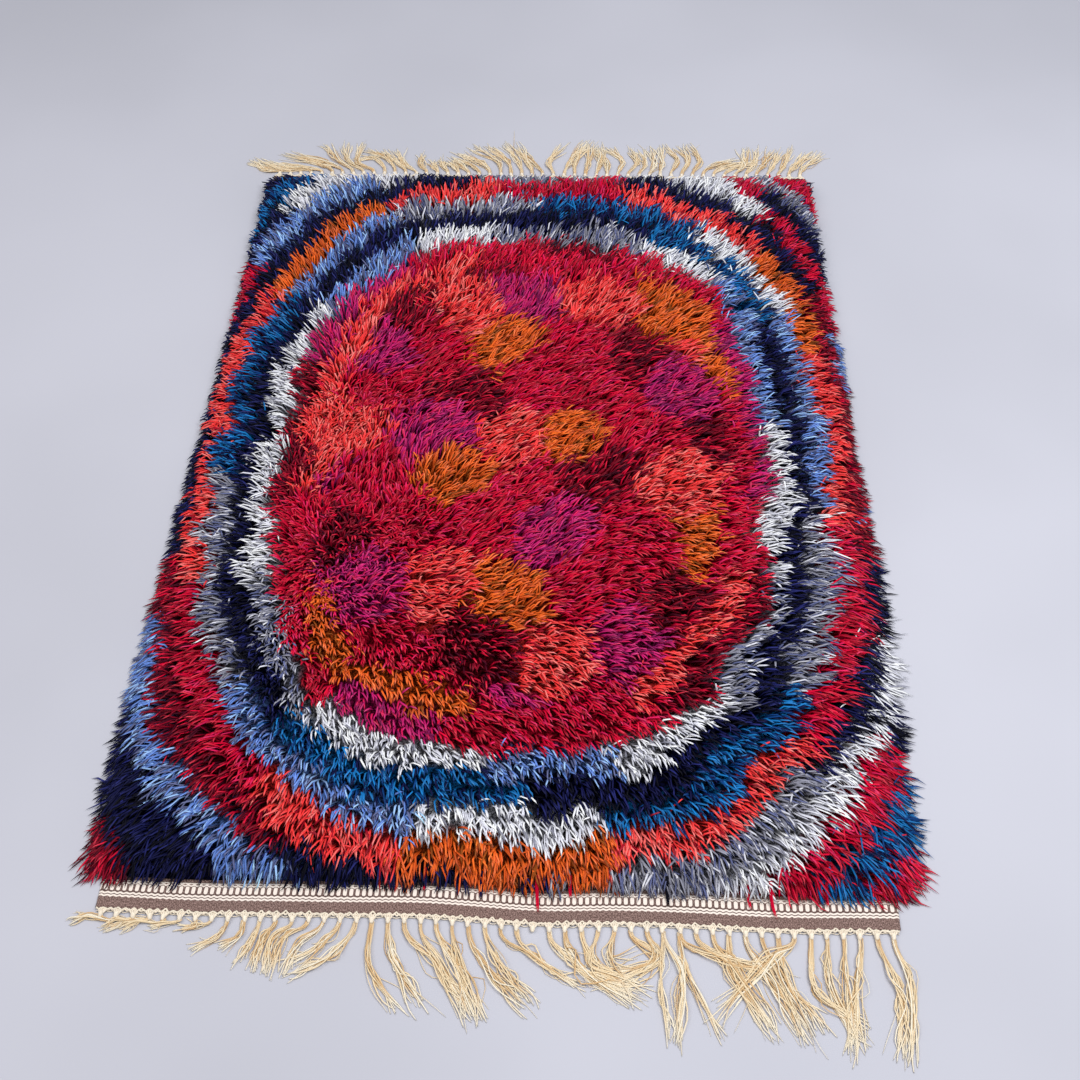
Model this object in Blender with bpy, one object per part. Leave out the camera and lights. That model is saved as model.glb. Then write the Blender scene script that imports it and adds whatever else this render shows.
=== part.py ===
"""A rya rug lying on the floor: a shaggy knotted field, a woven webbing sewn along each end,
and a knotted warp fringe beyond each webbing.

Metres, +Z up. X runs along the short ends and +Y towards the far end. The origin is the middle
of the rug's underside, and everything rests at Z 0.
"""

import math
import random
from collections import namedtuple

import bmesh
import bpy
from mathutils import Vector, noise

CLOTH_WIDTH = 1.36
FIELD_LENGTH = 1.82
WEBBING_WIDTH = 0.050
WEBBING_THICKNESS = 0.003
CLEARANCE = 0.0003

# The field: a lumpy slab of pile, with locks of yarn combed out over its rim
CELL = 0.044
CLOTH_THICKNESS = 0.0045
RIM_HEIGHT = 0.028
LOWEST_RIM = 0.82
RIM_BULGE = 0.009
LEAST_BULGE = 0.55
CROWN_HEIGHT = 0.042
LUMP_HEIGHT = 0.011
LUMP_SPACING = 0.105
FINE_LUMP_HEIGHT = 0.005
FINE_LUMP_SPACING = 0.050
TUFT_HEIGHT = 0.003
SHOULDER = 0.060
SHOULDER_DROP = 0.55
EDGE_INSET = 0.0088
FIELD_SEED = 5

# A lock of pile leaves the rim, then its shoulder and its tip lie further out and down
PLAIN_CELL_EVERY = 3
LOCK_LENGTH = 0.036
LOCK_OVER_WEBBING = 0.016
SHORTEST_LOCK = 0.70
LOCK_SHOULDER_PART = 0.45
LOCK_SHOULDER_WIDTH = 0.64
LOCK_SHOULDER_HEIGHT = 0.021
LOCK_SHOULDER_LIFT = 0.0015
LOCK_TIP_WIDTH = 0.30
LOCK_TIP_HEIGHT = 0.006
LEAN = 0.6
LEAN_TO_NEAR = 0.2
LEAN_SPACING = 0.30

# The fringe: knots tied on a thin twined heading, each with two locks of warp yarn
KNOTS = 50
HEADING_DEPTH = 0.0050
HEADING_HEIGHT = 0.0045
KNOT_LENGTH = 0.012
KNOT_WIDTH = 0.011
KNOT_HEIGHT = 0.009
KNOT_MIDDLE_PART = 0.55
KNOT_SIDE_HEIGHT = 0.72
NECK_WIDTH = 0.0080
NECK_HEIGHT = 0.0055
LOCKS_PER_KNOT = 2
LOCK_WIDTHS = (0.0038, 0.0045, 0.0050, 0.0032)
LOCK_THICKNESSES = (0.0045, 0.0040, 0.0034, 0.0022)
LOCK_CURVE = 1.35
LEAST_WIDTH_SHARE = 0.45
SHORTEST_REACH = 0.975
LONGEST_REACH = 1.02
NEAR_SEED = 11
FAR_SEED = 23

# How far an end of the rug bows outwards, as soft waves along its width
Wave = namedtuple("Wave", "share spread out")
NEAR_BOW = (
    Wave(0.12, 0.10, 0.004),
    Wave(0.40, 0.07, -0.003),
    Wave(0.56, 0.07, 0.005),
    Wave(0.86, 0.09, 0.004),
)
FAR_BOW = (
    Wave(0.22, 0.12, 0.003),
    Wave(0.63, 0.10, -0.002),
)

# How the fringe lies: for a share of the width, how far its tips lie to the right of their
# knots, and how far out from them
Comb = namedtuple("Comb", "share sweep reach")
NEAR_COMB = (
    Comb(0.00, -0.034, 0.024),
    Comb(0.06, -0.058, 0.036),
    Comb(0.14, -0.070, 0.052),
    Comb(0.22, -0.060, 0.076),
    Comb(0.29, -0.045, 0.104),
    Comb(0.33, -0.020, 0.112),
    Comb(0.37, 0.030, 0.125),
    Comb(0.44, 0.080, 0.150),
    Comb(0.49, 0.098, 0.142),
    Comb(0.55, 0.086, 0.128),
    Comb(0.61, 0.072, 0.136),
    Comb(0.68, 0.050, 0.158),
    Comb(0.75, 0.060, 0.160),
    Comb(0.82, 0.066, 0.165),
    Comb(0.91, 0.030, 0.188),
    Comb(0.96, 0.002, 0.195),
    Comb(1.00, -0.010, 0.195),
)
FAR_COMB = (
    Comb(0.00, -0.070, 0.060),
    Comb(0.07, -0.108, 0.085),
    Comb(0.16, -0.080, 0.115),
    Comb(0.24, -0.034, 0.122),
    Comb(0.34, -0.050, 0.095),
    Comb(0.45, -0.054, 0.125),
    Comb(0.52, 0.040, 0.140),
    Comb(0.62, 0.012, 0.135),
    Comb(0.74, -0.008, 0.122),
    Comb(0.86, 0.040, 0.120),
    Comb(0.95, 0.050, 0.125),
    Comb(1.00, 0.030, 0.120),
)

PILE_COLOUR = (0.42, 0.015, 0.060)
WEBBING_COLOUR = (0.17, 0.115, 0.095)
FRINGE_COLOUR = (0.70, 0.56, 0.36)


def smooth_step(share):
    share = min(1.0, max(0.0, share))
    return share * share * (3.0 - 2.0 * share)


def along_table(table, share, column):
    """The column's value at a share of the width, in a straight line from row to row."""
    for low, high in zip(table, table[1:]):
        if share <= high.share:
            part = (share - low.share) / (high.share - low.share)
            start, stop = getattr(low, column), getattr(high, column)
            return start + (stop - start) * part
    return getattr(table[-1], column)


def bow(table, x):
    """How far the rug's end lies outside its straight line, at x."""
    share = x / CLOTH_WIDTH + 0.5
    return sum(
        wave.out * math.exp(-(((share - wave.share) / wave.spread) ** 2)) for wave in table
    )


def field_end(end, x):
    """Y of the field's edge at x: end is -1 for the near end and 1 for the far one."""
    return end * (FIELD_LENGTH / 2 + bow(NEAR_BOW if end < 0 else FAR_BOW, x))


def fabric(name, colour, roughness):
    material = bpy.data.materials.new(name)
    material.use_nodes = True
    shader = material.node_tree.nodes["Principled BSDF"]
    shader.inputs["Base Color"].default_value = (*colour, 1.0)
    shader.inputs["Roughness"].default_value = roughness
    shader.inputs["Metallic"].default_value = 0.0
    return material


def add_object(name, bm, material, rug):
    """Makes an object of the mesh, under the rug's empty."""
    bmesh.ops.recalc_face_normals(bm, faces=bm.faces)
    mesh = bpy.data.meshes.new(name)
    bm.to_mesh(mesh)
    bm.free()
    mesh.materials.append(material)
    piece = bpy.data.objects.new(name, mesh)
    piece.parent = rug
    bpy.context.scene.collection.objects.link(piece)
    return piece


def push_out(bm, face, target):
    """Extrudes one face. target gives each new corner's place from its old one and the face's middle."""
    middle = face.calc_center_median()
    new_face = bmesh.ops.extrude_discrete_faces(bm, faces=[face])["faces"][0]
    for corner in new_face.verts:
        corner.co = target(corner.co.copy(), middle)
    return new_face


def field_point(u, v):
    """A place on the field's plan, from shares of its width and length."""
    x = (u - 0.5) * CLOTH_WIDTH
    near, far = field_end(-1, x), field_end(1, x)
    return Vector((x, near + (far - near) * v, 0.0))


def crown(place, inset):
    """Height of the pile's top: lumpy all over, and combed down towards the rim."""
    lump = LUMP_HEIGHT * noise.noise(place / LUMP_SPACING)
    fine = FINE_LUMP_HEIGHT * noise.noise(place / FINE_LUMP_SPACING)
    share = 1.0 - SHOULDER_DROP * (1.0 - smooth_step(inset / SHOULDER))
    return RIM_HEIGHT + (CROWN_HEIGHT + lump + fine - RIM_HEIGHT) * share


def rim_walk(columns, rows):
    """The grid places round the rim, in order, each with its outward direction."""
    walk = [(i, 0, 0, -1) for i in range(columns)]
    walk += [(columns, j, 1, 0) for j in range(rows)]
    walk += [(i, rows, 0, 1) for i in range(columns, 0, -1)]
    walk += [(0, j, -1, 0) for j in range(rows, 0, -1)]
    corners = {(0, 0): (-1, -1), (columns, 0): (1, -1), (columns, rows): (1, 1), (0, rows): (-1, 1)}
    return [(i, j, *corners.get((i, j), (out_x, out_y))) for i, j, out_x, out_y in walk]


def comb_lock(bm, face, rng):
    """Grows one lock of pile out of a cell of the rim, down towards what it lies on."""
    middle = face.calc_center_median()
    to_side = CLOTH_WIDTH / 2 - abs(middle.x)
    to_end = FIELD_LENGTH / 2 - abs(middle.y)
    lean = LEAN * noise.noise(middle / LEAN_SPACING)
    if to_end < to_side:
        out = Vector((lean, math.copysign(1.0, middle.y), 0.0)).normalized()
        length = LOCK_OVER_WEBBING * rng.uniform(SHORTEST_LOCK, 1.0)
        rest = WEBBING_THICKNESS + 2 * CLEARANCE
    else:
        out = Vector((math.copysign(1.0, middle.x), lean - LEAN_TO_NEAR, 0.0)).normalized()
        length = LOCK_LENGTH * rng.uniform(SHORTEST_LOCK, 1.0)
        rest = 0.0

    def ring(part, width_share, low, high):
        def target(corner, centre):
            across = corner - centre
            level = high if across.z > 0 else low
            across.z = 0.0
            place = centre + out * length * part + across * width_share
            return Vector((place.x, place.y, level))

        return target

    shoulder = ring(
        LOCK_SHOULDER_PART,
        LOCK_SHOULDER_WIDTH,
        rest + LOCK_SHOULDER_LIFT,
        LOCK_SHOULDER_HEIGHT,
    )
    tip = ring(1.0 - LOCK_SHOULDER_PART, LOCK_TIP_WIDTH, rest, rest + LOCK_TIP_HEIGHT)
    push_out(bm, push_out(bm, face, shoulder), tip)


def pile_field(material, rug):
    """The shag: one slab with a lumpy top, a bulging rim and the rim's locks."""
    columns = round(CLOTH_WIDTH / CELL)
    rows = round(FIELD_LENGTH / CELL)
    rng = random.Random(FIELD_SEED)
    bm = bmesh.new()
    top = {}
    for i in range(columns + 1):
        for j in range(rows + 1):
            place = field_point(i / columns, j / rows)
            inset = min(
                CLOTH_WIDTH / 2 - abs(place.x),
                FIELD_LENGTH / 2 - abs(place.y),
            )
            place.z = crown(place, inset) + rng.uniform(-TUFT_HEIGHT, TUFT_HEIGHT)
            top[i, j] = bm.verts.new(place)
    for i in range(columns):
        for j in range(rows):
            bm.faces.new((top[i, j], top[i + 1, j], top[i + 1, j + 1], top[i, j + 1]))

    low, cloth, rim = [], [], []
    walk = rim_walk(columns, rows)
    for i, j, out_x, out_y in walk:
        base = field_point(i / columns, j / rows)
        outward = Vector((out_x, out_y, 0.0))
        level = Vector((0.0, 0.0, RIM_HEIGHT * rng.uniform(LOWEST_RIM, 1.0)))
        low.append(bm.verts.new(base))
        cloth.append(bm.verts.new(base + Vector((0.0, 0.0, CLOTH_THICKNESS))))
        rim.append(bm.verts.new(base + level + outward * RIM_BULGE * rng.uniform(LEAST_BULGE, 1.0)))
        top[i, j].co -= outward * EDGE_INSET
    rim_cells = []
    for a in range(len(walk)):
        b = (a + 1) % len(walk)
        top_a, top_b = top[walk[a][:2]], top[walk[b][:2]]
        bm.faces.new((low[a], low[b], cloth[b], cloth[a]))
        rim_cells.append(bm.faces.new((cloth[a], cloth[b], rim[b], rim[a])))
        bm.faces.new((rim[a], rim[b], top_b, top_a))
    bm.faces.new(low[::-1])

    for number, face in enumerate(rim_cells):
        if number % PLAIN_CELL_EVERY:
            comb_lock(bm, face, rng)
    return add_object("pile_field", bm, material, rug)


def webbing(end, material, rug):
    """The woven tape along one end, a little wavy in plan as it lies."""
    stations = round(CLOTH_WIDTH / CELL)
    bm = bmesh.new()
    rings = []
    for i in range(stations + 1):
        x = (i / stations - 0.5) * CLOTH_WIDTH
        inner = field_end(end, x) + end * CLEARANCE
        outer = inner + end * WEBBING_WIDTH
        places = (
            (x, inner, 0.0),
            (x, outer, 0.0),
            (x, outer, WEBBING_THICKNESS),
            (x, inner, WEBBING_THICKNESS),
        )
        rings.append([bm.verts.new(place) for place in places])
    for a, b in zip(rings, rings[1:]):
        for k in range(4):
            bm.faces.new((a[k], b[k], b[(k + 1) % 4], a[(k + 1) % 4]))
    bm.faces.new(rings[0])
    bm.faces.new(rings[-1][::-1])
    return add_object("near_webbing" if end < 0 else "far_webbing", bm, material, rug)


def heading_line(end, x):
    """Y of the fringe heading's inner side at x, just outside the webbing."""
    return field_end(end, x) + end * (WEBBING_WIDTH + 2 * CLEARANCE)


def knot_places():
    """The X of each knot, evenly spaced along the heading."""
    pitch = CLOTH_WIDTH / KNOTS
    return [(-KNOTS / 2 + 0.5 + k) * pitch for k in range(KNOTS)]


def min_max(values):
    values = list(values)
    return min(values), max(values)


def tie_knot(bm, faces, x, end):
    """Pulls two neighbouring faces of the heading out as one knot, and gives the knot's end faces."""
    front = heading_line(end, x) + end * HEADING_DEPTH
    shapes = (
        (KNOT_MIDDLE_PART, KNOT_WIDTH, KNOT_HEIGHT),
        (1.0, NECK_WIDTH, NECK_HEIGHT),
    )
    for part, width, height in shapes:
        pulled = bmesh.ops.extrude_face_region(bm, geom=faces)["geom"]
        bmesh.ops.delete(bm, geom=faces, context="FACES_ONLY")
        faces = [item for item in pulled if isinstance(item, bmesh.types.BMFace)]
        left, right = min_max(corner.co.x for face in faces for corner in face.verts)
        for corner in {corner for face in faces for corner in face.verts}:
            side = (2 * corner.co.x - left - right) / (right - left)
            top_level = height * (1.0 - (1.0 - KNOT_SIDE_HEIGHT) * abs(side))
            level = top_level if corner.co.z > 0.0 else 0.0
            corner.co = (x + side * width / 2, front + end * KNOT_LENGTH * part, level)
    return faces


def lay_lock(bm, face, x, end, comb, rng):
    """Lays one lock of warp yarn on the floor, from a knot to where it was combed."""
    root = face.calc_center_median()
    place_in_knot = math.copysign(0.5, root.x - x) / LOCKS_PER_KNOT
    even_x = x + place_in_knot * CLOTH_WIDTH / KNOTS
    share = even_x / CLOTH_WIDTH + 0.5
    sweep = even_x + along_table(comb, share, "sweep") - root.x
    reach = along_table(comb, share, "reach") * rng.uniform(SHORTEST_REACH, LONGEST_REACH)
    segments = len(LOCK_WIDTHS)
    for step, (width, height) in enumerate(zip(LOCK_WIDTHS, LOCK_THICKNESSES), start=1):
        part = step / segments
        middle = Vector((root.x + sweep * part**LOCK_CURVE, root.y + end * reach * part, 0.0))
        slope = LOCK_CURVE * sweep * part ** (LOCK_CURVE - 1) / reach
        along = Vector((slope, end, 0.0)).normalized()
        across = Vector((abs(along.y), -along.x * end, 0.0))
        across *= width / 2 * max(LEAST_WIDTH_SHARE, abs(along.y))

        def target(corner, centre):
            place = middle + across * math.copysign(1.0, corner.x - centre.x)
            place.z = height if corner.z > centre.z else 0.0
            return place

        face = push_out(bm, face, target)


def fringe(end, material, rug):
    """One end's fringe: its heading, knots and locks, in one piece."""
    comb = NEAR_COMB if end < 0 else FAR_COMB
    knots = knot_places()
    stations = sorted(
        [-CLOTH_WIDTH / 2, CLOTH_WIDTH / 2]
        + [place for x in knots for place in (x - NECK_WIDTH / 2, x, x + NECK_WIDTH / 2)]
    )
    bm = bmesh.new()
    rings = []
    for x in stations:
        inner = heading_line(end, x)
        outer = inner + end * HEADING_DEPTH
        places = (
            (x, inner, 0.0),
            (x, outer, 0.0),
            (x, outer, HEADING_HEIGHT),
            (x, inner, HEADING_HEIGHT),
        )
        rings.append([bm.verts.new(place) for place in places])
    fronts = {}
    for x, a, b in zip(stations, rings, rings[1:]):
        for k in range(4):
            face = bm.faces.new((a[k], b[k], b[(k + 1) % 4], a[(k + 1) % 4]))
            if k == 1:
                fronts[x] = face
    bm.faces.new(rings[0])
    bm.faces.new(rings[-1][::-1])

    rng = random.Random(NEAR_SEED if end < 0 else FAR_SEED)
    for x in knots:
        pair = [fronts[x - NECK_WIDTH / 2], fronts[x]]
        for face in tie_knot(bm, pair, x, end):
            lay_lock(bm, face, x, end, comb, rng)
    return add_object("near_fringe" if end < 0 else "far_fringe", bm, material, rug)


def build_rug():
    for old in list(bpy.data.objects):
        bpy.data.objects.remove(old)
    rug = bpy.data.objects.new("rya_rug", None)
    bpy.context.scene.collection.objects.link(rug)
    wool = fabric("wool_pile", PILE_COLOUR, 0.9)
    tape = fabric("woven_webbing", WEBBING_COLOUR, 0.85)
    warp = fabric("fringe_yarn", FRINGE_COLOUR, 0.8)
    pile_field(wool, rug)
    for end in (-1, 1):
        webbing(end, tape, rug)
        fringe(end, warp, rug)


build_rug()
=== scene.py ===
"""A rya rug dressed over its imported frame: shaggy wool pile, woven webbings and knotted fringes."""

import math
from collections import namedtuple

import bpy
import numpy as np
from bpy.props import FloatProperty, FloatVectorProperty, IntProperty, PointerProperty
from mathutils import Matrix, Vector, noise


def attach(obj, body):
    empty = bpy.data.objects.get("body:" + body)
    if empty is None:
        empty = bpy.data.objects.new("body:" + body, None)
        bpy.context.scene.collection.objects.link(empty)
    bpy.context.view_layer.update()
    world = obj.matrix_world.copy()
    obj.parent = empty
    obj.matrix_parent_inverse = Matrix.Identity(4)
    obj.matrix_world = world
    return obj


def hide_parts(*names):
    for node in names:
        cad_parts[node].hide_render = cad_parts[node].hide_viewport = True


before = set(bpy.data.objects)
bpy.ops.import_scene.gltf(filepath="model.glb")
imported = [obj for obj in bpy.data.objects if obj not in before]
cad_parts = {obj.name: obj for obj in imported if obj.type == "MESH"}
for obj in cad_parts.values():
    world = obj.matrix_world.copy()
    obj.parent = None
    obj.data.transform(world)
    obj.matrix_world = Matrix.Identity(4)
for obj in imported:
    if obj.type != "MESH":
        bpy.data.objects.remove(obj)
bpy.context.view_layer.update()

bl_info = {
    "name": "Rya rug",
    "version": (1, 0, 0),
    "blender": (4, 5, 0),
    "location": "3D View > Sidebar > Rug",
    "description": "Builds a shaggy wool rug with its woven webbings and knotted fringes",
    "category": "Add Mesh",
}

BAKE_MAP = "OFBake"
RUN_MAP = "thread_run"
YARN_COLOUR = "yarn_colour"

# How far an end of the rug bows outwards, as soft waves along its width
Wave = namedtuple("Wave", "share spread out")
NEAR_BOW = (
    Wave(0.12, 0.10, 0.004),
    Wave(0.40, 0.07, -0.003),
    Wave(0.56, 0.07, 0.005),
    Wave(0.86, 0.09, 0.004),
)
FAR_BOW = (
    Wave(0.22, 0.12, 0.003),
    Wave(0.63, 0.10, -0.002),
)

# The yarns of knots first to last pass a middle place and end at a tip. Waist is how far they
# stand apart at the middle, and spread is how far at the tip
Tassel = namedtuple("Tassel", "first last yarns mid_x mid_y tip_x tip_y waist spread")
NEAR_TASSELS = (
    Tassel(0, 1, 9, -0.692, -0.976, -0.715, -0.983, 0.004, 0.006),
    Tassel(2, 2, 8, -0.640, -0.982, -0.660, -0.995, 0.004, 0.005),
    Tassel(3, 3, 9, -0.602, -0.983, -0.628, -0.998, 0.003, 0.006),
    Tassel(4, 4, 10, -0.608, -0.980, -0.658, -0.999, 0.003, 0.005),
    Tassel(5, 5, 9, -0.547, -0.984, -0.580, -0.990, 0.003, 0.005),
    Tassel(6, 7, 8, -0.500, -0.987, -0.530, -0.995, 0.003, 0.006),
    Tassel(8, 8, 10, -0.459, -1.001, -0.498, -1.026, 0.004, 0.006),
    Tassel(9, 9, 10, -0.425, -1.000, -0.451, -1.020, 0.004, 0.005),
    Tassel(10, 10, 10, -0.403, -1.010, -0.423, -1.050, 0.006, 0.006),
    Tassel(11, 11, 10, -0.383, -1.005, -0.392, -1.058, 0.005, 0.008),
    Tassel(12, 12, 10, -0.369, -1.005, -0.375, -1.062, 0.005, 0.007),
    Tassel(13, 13, 10, -0.348, -1.002, -0.362, -1.063, 0.005, 0.007),
    Tassel(14, 14, 10, -0.322, -1.010, -0.340, -1.064, 0.005, 0.007),
    Tassel(15, 15, 10, -0.284, -1.012, -0.331, -1.046, 0.006, 0.010),
    Tassel(16, 16, 11, -0.262, -1.028, -0.330, -1.066, 0.004, 0.007),
    Tassel(17, 17, 11, -0.201, -1.042, -0.154, -1.120, 0.003, 0.009),
    Tassel(18, 18, 12, -0.157, -1.037, -0.110, -1.108, 0.004, 0.014),
    Tassel(19, 19, 10, -0.094, -1.038, -0.036, -1.108, 0.006, 0.008),
    Tassel(20, 20, 10, -0.084, -1.040, -0.032, -1.122, 0.006, 0.010),
    Tassel(21, 21, 10, -0.058, -1.036, -0.026, -1.132, 0.005, 0.008),
    Tassel(22, 22, 10, -0.050, -1.038, -0.008, -1.126, 0.005, 0.010),
    Tassel(23, 23, 11, -0.003, -1.046, 0.064, -1.106, 0.004, 0.008),
    Tassel(24, 24, 11, 0.018, -1.038, 0.067, -1.092, 0.008, 0.008),
    Tassel(25, 26, 6, 0.070, -1.022, 0.150, -1.068, 0.003, 0.006),
    Tassel(28, 29, 10, 0.142, -1.032, 0.238, -1.090, 0.005, 0.007),
    Tassel(30, 30, 10, 0.172, -1.034, 0.250, -1.072, 0.006, 0.008),
    Tassel(31, 31, 10, 0.166, -1.028, 0.252, -1.070, 0.006, 0.010),
    Tassel(32, 32, 9, 0.197, -1.018, 0.232, -1.034, 0.008, 0.016),
    Tassel(33, 34, 11, 0.277, -1.018, 0.186, -1.062, 0.008, 0.014),
    Tassel(35, 35, 6, 0.280, -1.052, 0.294, -1.150, 0.003, 0.004),
    Tassel(35, 36, 6, 0.316, -1.040, 0.305, -1.150, 0.004, 0.004),
    Tassel(36, 36, 7, 0.328, -1.046, 0.376, -1.142, 0.006, 0.009),
    Tassel(36, 37, 8, 0.390, -1.018, 0.480, -1.036, 0.006, 0.016),
    Tassel(38, 39, 10, 0.400, -1.036, 0.458, -1.128, 0.010, 0.010),
    Tassel(40, 40, 10, 0.456, -1.044, 0.506, -1.140, 0.006, 0.009),
    Tassel(41, 41, 10, 0.472, -1.038, 0.516, -1.143, 0.006, 0.010),
    Tassel(42, 42, 10, 0.488, -1.050, 0.540, -1.128, 0.006, 0.010),
    Tassel(43, 43, 12, 0.462, -1.012, 0.374, -1.108, 0.008, 0.014),
    Tassel(44, 44, 11, 0.530, -1.060, 0.600, -1.116, 0.003, 0.007),
    Tassel(45, 45, 10, 0.552, -1.042, 0.598, -1.148, 0.004, 0.008),
    Tassel(46, 46, 10, 0.580, -1.052, 0.590, -1.156, 0.004, 0.009),
    Tassel(47, 47, 12, 0.602, -1.054, 0.584, -1.158, 0.005, 0.010),
    Tassel(48, 48, 12, 0.666, -1.056, 0.655, -1.164, 0.003, 0.006),
    Tassel(49, 49, 14, 0.686, -1.048, 0.672, -1.166, 0.004, 0.006),
)

# Each far knot has one tassel. The sweeps say how far to the side its middle and tip lie, and
# their y. The knots between two rows lie between those rows' sweeps
Sweep = namedtuple("Sweep", "knot mid_aside mid_y tip_aside tip_y")
FAR_SWEEPS = (
    Sweep(0, -0.036, 0.984, -0.086, 1.016),
    Sweep(2, -0.046, 0.990, -0.118, 1.024),
    Sweep(4, -0.039, 0.996, -0.116, 1.006),
    Sweep(5, -0.028, 1.006, -0.140, 1.048),
    Sweep(6, -0.036, 1.008, -0.134, 1.042),
    Sweep(7, -0.044, 1.022, -0.092, 1.092),
    Sweep(8, -0.044, 1.018, -0.062, 1.096),
    Sweep(9, -0.046, 1.016, -0.038, 1.096),
    Sweep(10, -0.035, 1.033, -0.082, 1.027),
    Sweep(11, -0.028, 1.032, -0.078, 1.066),
    Sweep(13, -0.030, 1.006, -0.060, 1.066),
    Sweep(14, -0.018, 1.009, -0.022, 1.053),
    Sweep(15, -0.011, 1.002, -0.018, 1.031),
    Sweep(17, -0.016, 1.004, -0.034, 1.028),
    Sweep(19, -0.019, 1.003, -0.072, 1.032),
    Sweep(20, -0.022, 1.014, -0.094, 1.060),
    Sweep(21, -0.009, 1.022, -0.076, 1.081),
    Sweep(23, -0.013, 1.024, -0.053, 1.092),
    Sweep(24, -0.013, 1.018, -0.046, 1.092),
    Sweep(25, -0.024, 1.016, -0.066, 1.066),
    Sweep(26, -0.012, 1.018, 0.018, 1.088),
    Sweep(27, 0.014, 1.032, 0.050, 1.102),
    Sweep(28, 0.003, 1.032, 0.033, 1.099),
    Sweep(30, 0.011, 1.022, -0.001, 1.091),
    Sweep(31, 0.000, 1.016, -0.034, 1.082),
    Sweep(32, 0.012, 1.022, -0.034, 1.092),
    Sweep(33, 0.021, 1.018, 0.007, 1.071),
    Sweep(35, 0.012, 1.006, 0.007, 1.084),
    Sweep(36, 0.007, 1.018, 0.000, 1.088),
    Sweep(37, 0.020, 1.026, -0.007, 1.084),
    Sweep(39, 0.020, 1.024, 0.002, 1.091),
    Sweep(40, 0.028, 1.012, 0.090, 1.034),
    Sweep(41, 0.031, 1.006, 0.106, 1.025),
    Sweep(42, 0.029, 1.003, 0.071, 1.026),
    Sweep(43, 0.022, 1.009, 0.026, 1.079),
    Sweep(45, 0.019, 1.013, 0.045, 1.077),
    Sweep(47, 0.015, 1.008, 0.042, 1.078),
    Sweep(49, 0.018, 1.010, 0.066, 1.060),
)

# How far the pile's tips lie past each long edge of the cloth, from the near end to the far end
SideReach = namedtuple("SideReach", "along left right")
SIDE_REACHES = (
    SideReach(-1.0, 0.068, 0.082),
    SideReach(-0.3, 0.046, 0.074),
    SideReach(0.0, 0.024, 0.050),
    SideReach(0.3, 0.008, 0.034),
    SideReach(0.6, 0.002, 0.010),
    SideReach(1.0, 0.002, 0.002),
)

# How far over the near webbing the pile's tips lie, at places along it
NearReach = namedtuple("NearReach", "x over")
NEAR_REACHES = (
    NearReach(-0.68, 0.012),
    NearReach(-0.40, 0.012),
    NearReach(-0.15, 0.017),
    NearReach(0.10, 0.014),
    NearReach(0.35, 0.012),
    NearReach(0.55, 0.007),
    NearReach(0.68, 0.003),
)

# Long yarns that have strayed over the near webbing
Stray = namedtuple("Stray", "x shade over drift")
STRAYS = (
    Stray(-0.262, "navy", 0.010, 0.003),
    Stray(-0.118, "crimson", 0.012, -0.004),
    Stray(-0.022, "navy", 0.020, -0.002),
    Stray(0.072, "crimson", 0.036, 0.004),
    Stray(0.128, "crimson", 0.010, 0.002),
    Stray(0.292, "night", 0.024, 0.004),
    Stray(0.428, "crimson", 0.022, 0.006),
    Stray(0.466, "crimson", 0.036, 0.010),
    Stray(0.560, "crimson", 0.014, 0.004),
)

# Each patch of the pile mixes a main yarn with two others: their names and shares
Blend = namedtuple("Blend", "main second third main_share second_share")
BLENDS = {
    "crimson": Blend("crimson", "deep_red", "raspberry", 0.55, 0.27),
    "magenta": Blend("magenta", "raspberry", "plum", 0.55, 0.22),
    "burgundy": Blend("burgundy", "black_plum", "crimson", 0.50, 0.26),
    "coral": Blend("coral", "salmon", "deep_red", 0.60, 0.28),
    "rust": Blend("rust", "brown_rust", "olive", 0.52, 0.34),
    "navy": Blend("navy", "night", "indigo", 0.48, 0.36),
    "azure": Blend("azure", "deep_azure", "navy", 0.50, 0.30),
    "periwinkle": Blend("periwinkle", "pale_blue", "slate", 0.48, 0.20),
    "grey": Blend("grey", "slate", "pale_grey", 0.52, 0.30),
    "white": Blend("pale_grey", "white", "grey", 0.46, 0.42),
}
BLEND_NAMES = tuple(BLENDS)

# The design's rings, counted from the middle field outwards, each in long patches of these blends
RINGS = (
    ("coral", "crimson", "rust", "crimson"),
    ("burgundy", "crimson", "magenta", "crimson"),
    ("white", "grey", "white", "periwinkle"),
    ("navy", "navy", "azure", "navy"),
    ("azure", "grey", "periwinkle", "white"),
    ("coral", "crimson", "coral", "rust"),
    ("navy", "burgundy", "navy", "grey"),
    ("white", "periwinkle", "crimson", "white"),
    ("navy", "crimson", "navy", "white"),
    ("azure", "navy", "grey", "coral"),
    ("crimson", "burgundy", "navy", "crimson"),
    ("navy", "burgundy", "crimson", "navy"),
)

# The blends of the middle field's patches, taken in turn
FIELD_PATCHES = (
    ("crimson", "magenta", "crimson", "magenta", "burgundy", "coral", "burgundy")
    + ("crimson", "crimson", "rust", "coral", "rust", "crimson")
)


def amount(name, description, default, **how):
    return FloatProperty(name=name, description=description, default=default, **how)


def length(name, description, default, least=0.0, most=3.0):
    """A size in metres that the sidebar shows."""
    return amount(name, description, default, min=least, max=most, unit="LENGTH")


def colour(name, description, *levels):
    """A colour from its red, green and blue on the usual scale of 0 to 255."""
    linear = [
        level / 255 / 12.92 if level < 10.5 else ((level / 255 + 0.055) / 1.055) ** 2.4
        for level in levels
    ]
    return FloatVectorProperty(
        name=name, description=description, default=linear, size=3, min=0, max=1, subtype="COLOR"
    )


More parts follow.
